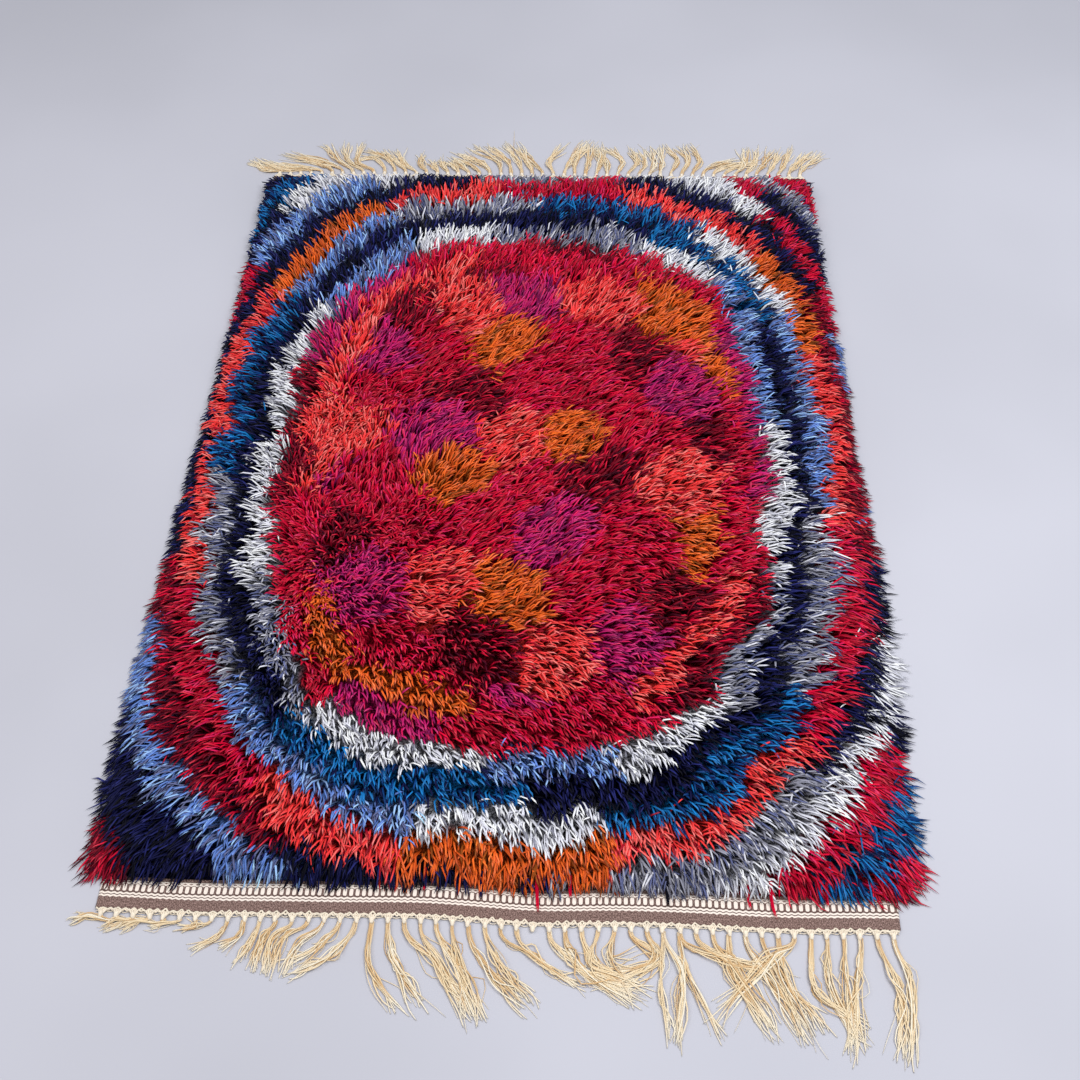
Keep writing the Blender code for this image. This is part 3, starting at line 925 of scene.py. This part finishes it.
def build_ground(rug):
    """The ground weave: a thin closed cloth, as wide as the frame's."""
    field = rug.field
    stations = 69
    xs = np.linspace(-0.5, 0.5, stations) * field.cloth_width
    rows = 24
    part_y = np.linspace(0.0, 1.0, rows)
    near, far = field_end(field, -1, xs), field_end(field, 1, xs)
    top = near[:, None] + (far - near)[:, None] * part_y
    sections = np.zeros((stations, 2 * rows, 3))
    sections[:, :, 0] = xs[:, None]
    sections[:, :rows, 1] = top[:, ::-1]
    sections[:, rows:, 1] = top
    sections[:, :rows, 2] = field.ground_thickness
    part = loft_part(sections)
    make_piece("ground_weave", part, ground_cloth(rug.webbing), "pile_field")


# How dark the bed is painted beside the yarns above it: painted shade, for the shade in the gaps
# between the yarns
BED_PAINTED_SHADE = 0.20


def bed_part(field, wool):
    """A lumpy bed under the yarns, which closes the gaps between them and is painted dark as the shade
    in those gaps.
    """
    columns, rows = 78, 106
    u, v = np.meshgrid(np.linspace(0, 1, columns + 1), np.linspace(0, 1, rows + 1), indexing="ij")
    margin = 0.006
    x = (u - 0.5) * (field.cloth_width - 2 * margin)
    near, far = field_end(field, -1, x) + margin, field_end(field, 1, x) - margin
    y = near + (far - near) * v
    foot = field.ground_thickness
    edge = ease(inset(field, x, y) / 0.05)
    z = foot + (pile_height(field, x, y) - foot) * (0.24 + 0.22 * edge)
    top = np.stack([x, y, z], axis=2).reshape(-1, 3)
    number = np.arange((columns + 1) * (rows + 1)).reshape(columns + 1, rows + 1)
    quads = np.stack([number[:-1, :-1], number[1:, :-1], number[1:, 1:], number[:-1, 1:]], axis=2)
    rim = np.concatenate([number[:-1, 0], number[-1, :-1], number[:0:-1, -1], number[0, :0:-1]])
    low = top[rim] * (1.0, 1.0, 0.0) + (0.0, 0.0, foot)
    base = len(top) + np.arange(len(rim))
    step = np.roll(np.arange(len(rim)), -1)
    walls = np.stack([base, base[step], rim[step], rim], axis=1)
    points = np.concatenate([top, low])
    corners = np.concatenate([quads.ravel(), walls.ravel(), base[::-1]])
    sizes = np.concatenate([np.full(columns * rows + len(rim), 4), [len(rim)]])
    flat = (points[:, :2] - points[:, :2].min(axis=0)) / (2 * field.field_length)
    wall_low = np.stack([np.arange(len(rim)) / len(rim), np.full(len(rim), 0.97)], axis=1)
    wall_next = wall_low + (0.9 / len(rim), 0.0)
    rise = (0.0, 0.02)
    wall_cells = np.stack([wall_low, wall_next, wall_next + rise, wall_low + rise], axis=1)
    under = flat[base[::-1]] + (0.5, 0.0)
    cell = np.concatenate([flat[quads.ravel()], wall_cells.reshape(-1, 2), under])
    blends = blend_of(field, points[:, 0], points[:, 1])
    main = np.array([tuple(getattr(wool, BLENDS[name].main)) for name in BLEND_NAMES])
    # Painted shade: the bed takes a dark share of the main yarn's colour above it
    colours = main[blends] * BED_PAINTED_SHADE
    return Part(points, colours, corners, sizes, cell, points[corners][:, :2])


# Each station of a pile yarn: its part of the way, its height as a share of the pile's, its
# thickness, and its painted shading: painted shade at the root, where the yarns hide one
# another, and painted light towards the tip
PileStation = namedtuple("PileStation", "part climb thick fade")
PILE_STATIONS = (
    PileStation(0.000000000, 0.420000000, 0.900000000, 0.300000000),
    PileStation(0.460784314, 0.936715686, 1.047058824, 0.928872549),
    PileStation(0.786767677, 1.026361111, 0.842121212, 1.083714646),
    PileStation(1.000000000, 0.980000000, 0.000000000, 1.160000000),
)

# How long the pile away from the long edges is, from the near end of the field to the far one
InnerReach = namedtuple("InnerReach", "along share")
INNER_REACHES = (
    InnerReach(-1.0, 1.0),
    InnerReach(-0.90, 0.92),
    InnerReach(-0.75, 0.72),
    InnerReach(0.0, 0.84),
    InnerReach(0.5, 1.0),
    InnerReach(0.92, 1.0),
    InnerReach(1.0, 1.15),
)

# How far tufts turn at random where the pile's lie is sure, and how much further where it isn't.
# The yarns of an unsure tuft reach less far
TUFT_TURN = 0.20
UNSURE_TURN = 0.45
UNSURE_REACH = 0.58
# From where the pile grows longer towards the long edges, and over what way, as shares of the
# cloth's width
SIDE_FROM = 0.32
SIDE_WAY = 0.16

# A yarn's bend and curl are shares of its reach, and a loose yarn turns further than the others
# but reaches less far
BEND = 0.17
CURL = 0.045
GATHER = 0.72
LOOSE_SHARE = 0.05
LOOSE_TURN = 0.9
LOOSE_REACH = 0.7
YARN_TURN = 0.15

Tufts = namedtuple("Tufts", "way sure reach lift side_limit near_limit")


def turned(ways, angles):
    """Level directions, each turned by its own angle."""
    x, y = ways.T
    cos, sin = np.cos(angles), np.sin(angles)
    return np.stack([x * cos - y * sin, x * sin + y * cos], axis=1)


def laid_tufts(field, feet, rng, reach_share):
    """How the tufts at these feet lie, and how far from the rug's middle their tips may be."""
    x, y = feet.T
    count = len(feet)
    way_x, way_y, sure = lean(field, x, y)
    turn = rng.normal(0.0, 1.0, count) * (TUFT_TURN + UNSURE_TURN * (1.0 - sure))
    past = side_reach(field, x, y)
    to_side = ease((np.abs(x) / field.cloth_width - SIDE_FROM) / SIDE_WAY)
    inner = np.interp(2 * y / field.field_length, *np.array(INNER_REACHES).T)
    longer = inner + to_side * np.clip(past / field.overhang - inner, 0.0, 0.7)
    reach = field.reach * reach_share * rng.uniform(0.80, 1.14, count)
    reach = reach * rising(UNSURE_REACH, sure) * longer
    lift = rng.uniform(0.90, 1.10, count)
    uneven = np.clip(rng.normal(0.0, 0.009, count), -0.018, 0.016)
    side_limit = np.minimum(field.cloth_width / 2 + past + uneven, field.outermost)
    over = near_reach(x) + np.clip(rng.normal(0.0, 0.003, count), -0.006, 0.006)
    near_limit = over - field_end(field, -1, x)
    way = turned(np.stack([way_x, way_y], axis=1), turn)
    return Tufts(way, sure, reach, lift, side_limit, near_limit)


def pile_yarns(field, wool, feet, rng, rise=1.0, reach_share=1.0):
    """The yarns of tufts at these feet, as paths, radii and colours by station.

    A tuft's yarns gather to a lock where the pile lies surely one way, and splay where it doesn't.
    """
    part, climb, thick, painted_shading = np.array(PILE_STATIONS).T
    tufts = laid_tufts(field, feet, rng, reach_share)
    tuft = np.repeat(np.arange(len(feet)), field.yarns_per_tuft)
    count = len(tuft)
    foot = feet[tuft]
    firm = tufts.sure[tuft][:, None]

    angle = rng.uniform(0, 2 * math.pi, count)
    splay = np.stack([np.cos(angle), np.sin(angle)], axis=1)
    apart = splay * (field.tuft_radius * np.sqrt(rng.random(count)))[:, None]
    loose = rng.random(count) < LOOSE_SHARE
    turn = rng.normal(0.0, 1.0, count) * np.where(loose, LOOSE_TURN, YARN_TURN)
    way = tufts.way[tuft] * rising(0.45, firm) + splay * (1.0 - firm) * 0.7
    way /= np.linalg.norm(way, axis=1, keepdims=True) + 1e-6
    way = turned(way, turn)
    reach = tufts.reach[tuft] * rng.uniform(0.80, 1.12, count) * np.where(loose, LOOSE_REACH, 1.0)
    aside = np.abs(foot[:, 0] + way[:, 0] * reach)
    reach = held_back(reach, np.abs(foot[:, 0]), aside, tufts.side_limit[tuft])
    ahead = -foot[:, 1] - way[:, 1] * reach
    reach = held_back(reach, -foot[:, 1], ahead, tufts.near_limit[tuft])

    bend = rng.normal(0.0, BEND, count) * reach
    curl = rng.normal(0.0, CURL, count) * reach
    sway = bend[:, None] * np.sin(0.6 * math.pi * part) + curl[:, None] * np.sin(1.5 * math.pi * part)
    across = np.stack([-way[:, 1], way[:, 0]], axis=1)
    plan = foot[:, None] + apart[:, None] * (1.0 - GATHER * part * firm)[..., None]
    plan = plan + way[:, None] * (reach[:, None] * part)[..., None] + across[:, None] * sway[..., None]
    stray = rng.normal(0.0, 0.07, count)
    level = rise * tufts.lift[tuft][:, None] * climb + stray[:, None] * part
    height = pile_height(field, plan[..., 0], plan[..., 1]) * level
    height = np.clip(height, field.ground_thickness - 0.0003, field.highest)
    paths = np.concatenate([plan, height[..., None]], axis=2)
    radii = field.yarn_radius * rng.uniform(0.82, 1.15, count)[:, None] * thick

    shades = yarn_shades(wool, blend_of(field, foot[:, 0], foot[:, 1]), rng)
    # Each tuft's colour differs at random, and is painted darker in the pile's hollows and lighter on
    # its lumps: painted shade and painted light
    tuft_tone_and_lump_shade = rng.uniform(0.84, 1.16, len(feet))[tuft] * (1.0 + 0.16 * lumps(foot[:, 0], foot[:, 1]))
    # A painted highlight: a grey lift on the outer part of some yarns, stronger on brighter yarns, for
    # the light that the tips catch
    tip_highlight_strength = (0.006 + 0.11 * shades.max(axis=1)) * rng.random(count) ** 1.6
    painted_tip_highlight = tip_highlight_strength[:, None] * ease((part - 0.45) / 0.55)
    # Each yarn's colour is scaled by its painted shading: painted shade at the root, painted light
    # towards the tip
    colours = shades[:, None] * tuft_tone_and_lump_shade[:, None, None] * painted_shading[:, None] + painted_tip_highlight[..., None]
    return paths, radii, np.minimum(colours, 0.95)


def stray_yarns(field, wool, rng):
    """The long yarns over the near webbing, each of two plies that lie side by side."""
    part = np.linspace(0.0, 1.0, 6)
    paths, colours = [], []
    for stray in STRAYS:
        for ply in (-0.5, 0.5):
            x = stray.x + ply * 0.0024 + stray.drift * part**2
            edge = field_end(field, -1, stray.x)
            y = edge + 0.022 - (0.022 + stray.over) * part
            z = np.interp(part, (0.0, 0.35, 0.6, 1.0), (0.030, 0.014, 0.0072, 0.0058))
            paths.append(np.stack([x, y, z], axis=1))
            shade = np.array(getattr(wool, stray.shade)) * rng.uniform(0.9, 1.1)
            # Painted shade at the root, where the yarn leaves the pile, and painted light towards its
            # tip
            colours.append(shade * np.interp(part, (0.0, 0.5, 1.0), (0.6, 1.0, 1.1))[:, None])
    thick = np.interp(part, (0.0, 0.7, 1.0), (1.0, 1.0, 0.0))
    radii = field.yarn_radius * np.ones((len(paths), 1)) * thick
    return np.array(paths), radii, np.array(colours)


def tuft_feet(field, rng):
    """Places of the tufts all over the field, in staggered rows with some scatter."""
    spacing = field.tuft_spacing
    columns = int(field.cloth_width / spacing)
    rows = int(field.field_length / spacing)
    i, j = np.meshgrid(np.arange(columns), np.arange(rows), indexing="ij")
    x = ((i + 0.25 + 0.5 * (j % 2)) / columns - 0.5) * (field.cloth_width - 0.012)
    y = (j + 0.5) / rows * (field.field_length - 0.050) - field.field_length / 2 + 0.039
    feet = np.stack([x, y], axis=2).reshape(-1, 2)
    return feet + rng.uniform(-0.36, 0.36, feet.shape) * spacing


# Extra tufts where the pile parts, picked among many places by how unsure its lie is there
PARTING_TUFTS = 380
PARTING_TRIES = 60 * PARTING_TUFTS
UNSURE = 0.45


def parting_feet(field, rng):
    """Places of extra tufts where the pile parts, lying no one way, and would show its bed."""
    size = (field.cloth_width - 0.10, field.field_length - 0.16)
    feet = (rng.random((PARTING_TRIES, 2)) - 0.5) * size
    _, _, sure = lean(field, feet[:, 0], feet[:, 1])
    return feet[sure < UNSURE][:PARTING_TUFTS]


# Rows of extra tufts along the four edges: how far in they stand from the long edges, the near
# edge and the far one, and how high and how far their yarns reach as shares of the others'
RimRow = namedtuple("RimRow", "side near far rise reach")
RIM_ROWS = (
    RimRow(0.004, 0.036, 0.012, 0.80, 0.92),
    RimRow(0.008, 0.040, 0.018, 0.50, 0.84),
)
RIM_SPACING = 0.0125


def rim_feet(field, rng, row):
    """Places of the tufts of one row along the edges."""
    half = field.cloth_width / 2 - row.side
    near, far = row.near - field.field_length / 2, field.field_length / 2 - row.far
    along_x = np.arange(-half, half, RIM_SPACING)
    along_y = np.arange(near, far, RIM_SPACING)
    ends = [np.stack([along_x, np.full_like(along_x, y)], axis=1) for y in (near, far)]
    sides = [np.stack([np.full_like(along_y, x), along_y], axis=1) for x in (-half, half)]
    feet = np.concatenate(ends + sides)
    return feet + rng.uniform(-0.3, 0.3, feet.shape) * RIM_SPACING


# Where the left quarters of the pile meet the right ones
QUARTERS_MEET = -0.03


def build_pile(rug):
    """The pile's bed and its yarns, in four quarters."""
    field, wool = rug.field, rug.wool
    material = twisted_yarn("wool_yarn", 260.0, 0.55, roughness=0.50, specular=0.07)
    pieces = [make_piece("pile_bed", bed_part(field, wool), matted_wool(), "pile_field")]
    rng = np.random.default_rng(2024)
    groups = [
        pile_yarns(field, wool, tuft_feet(field, rng), rng),
        pile_yarns(field, wool, parting_feet(field, rng), rng),
    ]
    for row in RIM_ROWS:
        groups.append(pile_yarns(field, wool, rim_feet(field, rng, row), rng, row.rise, row.reach))
    groups.append(stray_yarns(field, wool, rng))

    for end, side in ("near", "left"), ("near", "right"), ("far", "left"), ("far", "right"):
        chosen = []
        for paths, radii, colours in groups:
            x, y, _ = paths[:, 0].T
            here = ((x < QUARTERS_MEET) == (side == "left")) & ((y < 0) == (end == "near"))
            chosen.append((paths[here], radii[here], colours[here]))
        total = sum(len(paths) for paths, _, _ in chosen)
        columns = math.ceil(math.sqrt(total * 1.7))
        grid = (columns, math.ceil(total / columns))
        parts, first = [], 0
        for paths, radii, colours in chosen:
            parts.append(yarn_part(paths, radii, colours, first_cell=first, grid=grid))
            first += len(paths)
        name = f"pile_{end}_{side}"
        pieces.append(make_piece(name, joined(parts), material, "pile_field"))
    return pieces


def tape_sections(rug, end):
    """Loops across the tape, from one end of it to the other."""
    field, webbing = rug.field, rug.webbing
    stations, ribs = 273, 13
    xs = np.linspace(-0.5, 0.5, stations) * field.cloth_width
    inner = field_end(field, end, xs)
    across = np.linspace(0.0, 1.0, ribs)
    sections = np.zeros((stations, 2 * ribs, 3))
    sections[:, :, 0] = xs[:, None]
    wave = 0.0012 * (1 + soft_noise(xs, np.full_like(xs, end), 0.12, 71))
    top = webbing.thickness - 0.0006 * np.sin(2 * math.pi * across * 1.5) ** 2
    for k in range(ribs):
        y = inner + end * webbing.width * across[k]
        sections[:, k, 1] = y
        sections[:, k, 2] = top[k] + wave * across[k]
        sections[:, 2 * ribs - 1 - k, 1] = y
        sections[:, 2 * ribs - 1 - k, 2] = wave * across[k]
    if end > 0:
        sections = sections[::-1]
    return sections


def build_webbings(rug):
    """The woven tape along each end."""
    material = woven_tape(rug.webbing)
    for end, name in ((-1, "near"), (1, "far")):

        def run_of(points):
            across = end * (points[:, 1] - field_end(rug.field, end, points[:, 0]))
            return np.stack([points[:, 0], across], axis=1)

        part = loft_part(tape_sections(rug, end), run_of=run_of)
        make_piece(f"{name}_tape", part, material, f"{name}_webbing")


def heading_y(rug, end, x):
    return field_end(rug.field, end, x) + end * (rug.webbing.width + 0.0022)


def knot_xs(rug):
    knots = rug.fringe.knots
    return (np.arange(knots) - knots / 2 + 0.5) * rug.field.cloth_width / knots


def heading_part(rug, end, rng):
    """Yarns twined along the tape's outer edge: pointed stitches, a core and slack loops."""
    fringe, width = rug.fringe, rug.field.cloth_width
    steps = 900
    xs = np.linspace(-0.5, 0.5, steps) * (width - 0.004)
    share = xs / width + 0.5
    uneven = 0.85 + 0.55 * soft_noise(xs, np.full_like(xs, end), 0.009, 83)
    jitter = 0.16 * soft_noise(xs, np.full_like(xs, end), 0.016, 84)
    stitch = np.abs(2 * ((share * 2 * fringe.knots + jitter) % 1.0) - 1) ** 1.1
    slack = np.abs(np.cos(math.pi * share * fringe.knots))
    wobble = np.sin(2 * math.pi * share * 3.3 * fringe.knots)
    # Offset outwards, height and thickness of the stitches, the core and the loops
    yarns = (
        (0.0014 - 0.0056 * stitch * uneven, 0.0052 - 0.0006 * stitch, 1.3),
        (0.0004 - 0.0012 * wobble, 0.0040 + 0.0005 * wobble, 1.5),
        (0.0016 + 0.0032 * slack * uneven, 0.0036 - 0.0014 * slack, 0.6),
    )
    paths, radii = [], []
    for offset, height, thick in yarns:
        y = heading_y(rug, end, xs) + end * offset + 0.0002 * rng.normal(size=steps)
        paths.append(np.stack([xs, y, height], axis=1))
        radii.append(fringe.heading_radius * thick * rng.uniform(0.85, 1.15, steps))
    colours = np.array(fringe.wrap) * rng.uniform(0.86, 1.0, (len(paths), steps, 1))
    return yarn_part(np.array(paths), np.array(radii), colours, sides=4, grid=(1, len(paths)))


# How far to each side of a knot the yarns that it gathers start
GATHERED_FROM = (-0.0062, -0.0022, 0.0022, 0.0062)


def knots_part(rug, end, rng):
    """The knots: yarns that gather from the heading, and the wrapped neck that holds them."""
    fringe = rug.fringe
    xs = knot_xs(rug)
    knots = len(xs)
    lean_over = rng.normal(0.0, 0.0014, knots)
    top = heading_y(rug, end, xs)
    yarns = len(GATHERED_FROM)
    grid = (25, math.ceil((yarns + 1) * knots / 25))
    parts = []

    def add(x, y, height, radii, darkest, sides, number):
        paths = np.stack([x, y, np.broadcast_to(height, x.shape)], axis=2)
        colours = np.array(fringe.wrap) * rng.uniform(darkest, 1.0, (knots, 1, 1))
        colours = colours * np.ones((1, len(height), 1))
        parts.append(yarn_part(paths, radii, colours, sides, number * knots, grid))

    part = np.linspace(0.0, 1.0, 6)
    closing = 1.0 - 0.82 * ease(part / 0.8)
    for number, aside in enumerate(GATHERED_FROM):
        x = xs[:, None] + aside * closing + lean_over[:, None] * part
        y = top[:, None] + end * (0.0008 + (fringe.knot_length - 0.0030) * part)
        radii = 0.0020 * rng.uniform(0.85, 1.15, (knots, 1)) * np.ones(6)
        add(x, y, 0.0050 - 0.0018 * part, radii, 0.88, 4, number)

    part = np.linspace(0.0, 1.0, 10)
    ridge = 1.0 + 0.10 * np.cos(part * 2 * math.pi * 3.5)
    girth = np.interp(part, (0, 0.12, 0.4, 0.85, 1.0), (0.55, 0.95, 1.08, 0.74, 0.0)) * ridge
    x = xs[:, None] + lean_over[:, None] * rising(0.4, part)
    y = top[:, None] + end * (0.0035 + (fringe.knot_length - 0.0035) * part)
    radii = fringe.knot_radius * rng.uniform(0.88, 1.12, (knots, 1)) * girth
    add(x, y, 0.0051 - 0.0006 * part, radii, 0.92, 8, yarns)
    return joined(parts)


# Thin wisps of each tassel, besides its yarns
WISPS = 3
# Of the yarns this share is straw and this share pale, and the others are tan
STRAW_SHARE = 0.62
PALE_SHARE = 0.18

# Every far tassel's yarns, and how far they stand apart at its middle and at its tip
FAR_YARNS = 12
FAR_WAIST = 0.0050
FAR_SPREAD = 0.0100


def far_tassels(rug):
    """One tassel for each far knot."""
    xs = knot_xs(rug)
    knots, *columns = np.array(FAR_SWEEPS).T
    places = (np.interp(np.arange(len(xs)), knots, column) for column in columns)
    tassels = []
    for knot, (x, mid_aside, mid_y, tip_aside, tip_y) in enumerate(zip(xs, *places)):
        lie = (x + mid_aside, mid_y, x + tip_aside, tip_y)
        tassels.append(Tassel(knot, knot, FAR_YARNS, *lie, FAR_WAIST, FAR_SPREAD))
    return tassels


def tassel_places(rug, end, rng):
    """Where each loose yarn of one end starts, passes and ends, and whether it is a thin wisp."""
    xs = knot_xs(rug)
    starts, mids, tips, fine = [], [], [], []
    for tassel in NEAR_TASSELS if end < 0 else far_tassels(rug):
        for knot in range(tassel.first, tassel.last + 1):
            y = heading_y(rug, end, xs[knot]) + end * (rug.fringe.knot_length - 0.0040)
            for yarn in range(tassel.yarns + WISPS):
                wisp = yarn >= tassel.yarns
                stray = 1.6 if wisp else 1.0
                aside = rng.uniform(-1.0, 1.0)
                starts.append((xs[knot] + 0.0034 * aside, y))
                mid = rng.normal(0.0, 0.62, 2) * tassel.waist * stray
                mids.append(mid + (tassel.mid_x + aside * 0.5 * tassel.waist, tassel.mid_y))
                tip = rng.normal(0.0, 0.9, 2) * tassel.spread * stray
                tips.append(tip + (tassel.tip_x + aside * 0.6 * tassel.spread, tassel.tip_y))
                fine.append(wisp)
    starts, mids, tips, fine = map(np.array, (starts, mids, tips, fine))
    tips = mids + (tips - mids) * rng.uniform(0.84, 1.10, (len(tips), 1))
    return starts, mids, tips, fine


def bent(u, *ends):
    """A smooth path by the parts u of its way, from the start and its way to the stop and its way."""
    start, start_way, stop, stop_way = (end[:, None] for end in ends)
    return (
        start * (2 * u**3 - 3 * u**2 + 1)
        + start_way * (u**3 - 2 * u**2 + u)
        + stop * (3 * u**2 - 2 * u**3)
        + stop_way * (u**3 - u**2)
    )


def tassel_part(rug, end, stations, rng):
    """The loose warp yarns of one end: each runs out from its knot, past a middle place, to its tip.

    Each knot also has a few thin wisps, which stray further.
    """
    fringe = rug.fringe
    starts, mids, tips, fine = tassel_places(rug, end, rng)
    count = len(starts)
    first, second = mids - starts, tips - mids
    length_one = np.linalg.norm(first, axis=1, keepdims=True)
    length_two = np.linalg.norm(second, axis=1, keepdims=True)
    out = np.array([0.0, end]) * length_one * 1.1
    across = (first / length_one + second / length_two) * 0.5
    t = np.append(np.linspace(0.0, 0.98, stations - 1), 1.0)
    half = np.minimum(t * 2, 1.0)[:, None]
    rest = np.maximum(t * 2 - 1, 0.0)[:, None]
    early = bent(half, starts, out, mids, across * length_one)
    late = bent(rest, mids, across * length_two, tips, second)
    plan = np.where((t > 0.5)[:, None], late, early)

    distance = (length_one + length_two)[:, 0]
    curl = rng.normal(0.0, 0.028, (count, 2)) * distance[:, None] * np.where(fine, 1.3, 1.0)[:, None]
    turn = rng.uniform(0, 2 * math.pi, count)
    sway = np.sin(2 * math.pi * t * rng.uniform(1.0, 2.2, count)[:, None] + turn[:, None]) * ease(t * 2)
    plan = plan + curl[:, None] * sway[..., None]
    radius = fringe.yarn_radius * rng.uniform(0.78, 1.12, count) * np.where(fine, 0.55, 1.0)
    stack = rng.uniform(0.0, 0.0055, count)
    z = 0.0022 * (1 - ease(t / 0.25)) + radius[:, None] + stack[:, None] * np.sin(math.pi * t) ** 0.7
    paths = np.concatenate([plan, z[..., None]], axis=2)
    thick = np.interp(t, (0.0, 0.86, 0.98, 1.0), (1.0, 1.0, 0.62, 0.0))

    pick = rng.random(count)[:, None]
    straw, pale_straw, tan = map(np.array, (fringe.straw, fringe.pale_straw, fringe.tan))
    others = np.where(pick > STRAW_SHARE + PALE_SHARE, tan, pale_straw)
    main = np.where(pick < STRAW_SHARE, straw, others)
    # Darker near its knot, and pale at its tip
    tanned = rng.uniform(0.0, 1.0, (count, 1)) * (1.0 - ease((t - 0.03) / 0.30))
    pale = ease((t - 0.72) / 0.28)[:, None]
    colours = main[:, None] + (tan - main[:, None]) * tanned[..., None]
    colours = colours * (1 - pale) + pale_straw * pale
    grid = (24, math.ceil(count / 24))
    return yarn_part(paths, radius[:, None] * thick, colours, grid=grid)


def build_fringes(rug):
    """Each end's heading, knots and tassels."""
    material = twisted_yarn("warp_yarn", 330.0, 0.75, roughness=0.75, sheen=0.1, specular=0.2)
    fringes = {}
    for end, name, stations in ((-1, "near", 15), (1, "far", 10)):
        rng = np.random.default_rng(31 + end)
        parts = {
            "heading": heading_part(rug, end, rng),
            "knots": knots_part(rug, end, rng),
            "tassels": tassel_part(rug, end, stations, rng),
        }
        fringes[name] = [
            make_piece(f"{name}_{kind}", part, material, f"{name}_fringe")
            for kind, part in parts.items()
        ]
    return fringes


def area_light(name, place, aim, size, power, tint):
    light = bpy.data.lights.new(name, "AREA")
    light.shape = "SQUARE"
    light.size = size
    light.energy = power
    light.color = tint
    lamp = bpy.data.objects.new(name, light)
    lamp.location = place
    lamp.rotation_euler = (Vector(aim) - Vector(place)).to_track_quat("-Z", "Y").to_euler()
    bpy.context.scene.collection.objects.link(lamp)


class RUG_OT_ground(bpy.types.Operator):
    """Makes the woven ground that the pile is knotted on"""

    bl_idname = "rug.ground"
    bl_label = "Ground weave"

    def execute(self, context):
        build_ground(context.scene.rug)
        return {"FINISHED"}


class RUG_OT_pile(bpy.types.Operator):
    bl_idname = "rug.pile"
    bl_label = "Wool pile"

    def execute(self, context):
        rug = context.scene.rug
        build_pile(rug)
        return {"FINISHED"}


class RUG_OT_webbings(bpy.types.Operator):
    """Makes the woven tape along each end"""

    bl_idname = "rug.webbings"
    bl_label = "Webbings"

    def execute(self, context):
        build_webbings(context.scene.rug)
        return {"FINISHED"}


class RUG_OT_fringes(bpy.types.Operator):
    bl_idname = "rug.fringes"
    bl_label = "Fringes"

    def execute(self, context):
        rug = context.scene.rug
        for name, pieces in build_fringes(rug).items():
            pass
        return {"FINISHED"}


class RUG_OT_stage(bpy.types.Operator):
    """Makes the studio floor, the soft lights and the camera"""

    bl_idname = "rug.stage"
    bl_label = "Studio"

    def execute(self, context):
        stage, scene = context.scene.rug.stage, context.scene
        half = stage.floor_size / 2
        mesh = bpy.data.meshes.new("floor")
        corners = [(-half, -half, 0), (half, -half, 0), (half, half, 0), (-half, half, 0)]
        mesh.from_pydata(corners, [], [(0, 1, 2, 3)])
        mesh.materials.append(studio_floor(stage))
        floor = bpy.data.objects.new("floor", mesh)
        floor.location.z = -0.0002
        scene.collection.objects.link(floor)

        cool, warm = (0.96, 0.98, 1.0), (1.0, 0.97, 0.94)
        area_light("key_light", (1.8, -0.3, 3.9), (0.2, -0.1, 0.0), 2.4, stage.key_power, cool)
        area_light("fill_light", (-2.6, -0.6, 3.8), (0.0, 0.0, 0.0), 3.0, stage.fill_power, warm)
        world = bpy.data.worlds.new("studio")
        world.use_nodes = True
        background = world.node_tree.nodes["Background"]
        background.inputs["Color"].default_value = (0.93, 0.95, 1.0, 1.0)
        background.inputs["Strength"].default_value = stage.sky
        scene.world = world
        scene.view_settings.view_transform = "Standard"

        lens = bpy.data.cameras.new("camera")
        lens.lens = stage.lens
        lens.sensor_width = 36.0
        lens.clip_end = 60.0
        camera = bpy.data.objects.new("camera", lens)
        forward = Vector(
            (
                math.sin(stage.azimuth) * math.cos(stage.tilt),
                math.cos(stage.azimuth) * math.cos(stage.tilt),
                -math.sin(stage.tilt),
            )
        )
        level = Vector((math.cos(stage.azimuth), -math.sin(stage.azimuth), 0.0))
        upright = level.cross(forward)
        right = math.cos(stage.roll) * level + math.sin(stage.roll) * upright
        up = math.cos(stage.roll) * upright - math.sin(stage.roll) * level
        turn = Matrix((right, up, -forward)).transposed().to_4x4()
        camera.matrix_world = Matrix.Translation(stage.camera_place) @ turn
        scene.collection.objects.link(camera)
        scene.camera = camera
        return {"FINISHED"}


class RUG_PG_rug(bpy.types.PropertyGroup):
    """All of the rug's settings."""

    field: PointerProperty(type=RUG_PG_field)
    wool: PointerProperty(type=RUG_PG_wool)
    webbing: PointerProperty(type=RUG_PG_webbing)
    fringe: PointerProperty(type=RUG_PG_fringe)
    stage: PointerProperty(type=RUG_PG_stage)


OPERATORS = (RUG_OT_ground, RUG_OT_pile, RUG_OT_webbings, RUG_OT_fringes, RUG_OT_stage)


class RUG_PT_panel(bpy.types.Panel):
    """Lists the rug's operators and settings"""

    bl_label = "Rya rug"
    bl_idname = "RUG_PT_panel"
    bl_space_type = "VIEW_3D"
    bl_region_type = "UI"
    bl_category = "Rug"

    def draw(self, context):
        for operator in OPERATORS:
            self.layout.operator(operator.bl_idname)
        rug = context.scene.rug
        for group in (rug.field, rug.wool, rug.webbing, rug.fringe, rug.stage):
            box = self.layout.box()
            for name in group.bl_rna.properties.keys():
                if name not in ("rna_type", "name"):
                    box.prop(group, name)


CLASSES = (
    RUG_PG_wool,
    RUG_PG_field,
    RUG_PG_webbing,
    RUG_PG_fringe,
    RUG_PG_stage,
    RUG_PG_rug,
    *OPERATORS,
    RUG_PT_panel,
)


def register():
    for cls in CLASSES:
        bpy.utils.register_class(cls)
    bpy.types.Scene.rug = PointerProperty(type=RUG_PG_rug)


def unregister():
    del bpy.types.Scene.rug
    for cls in reversed(CLASSES):
        bpy.utils.unregister_class(cls)


def main():
    register()
    bpy.ops.rug.ground()
    bpy.ops.rug.pile()
    bpy.ops.rug.webbings()
    bpy.ops.rug.fringes()
    bpy.ops.rug.stage()
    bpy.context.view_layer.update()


if __name__ == "__main__":
    main()
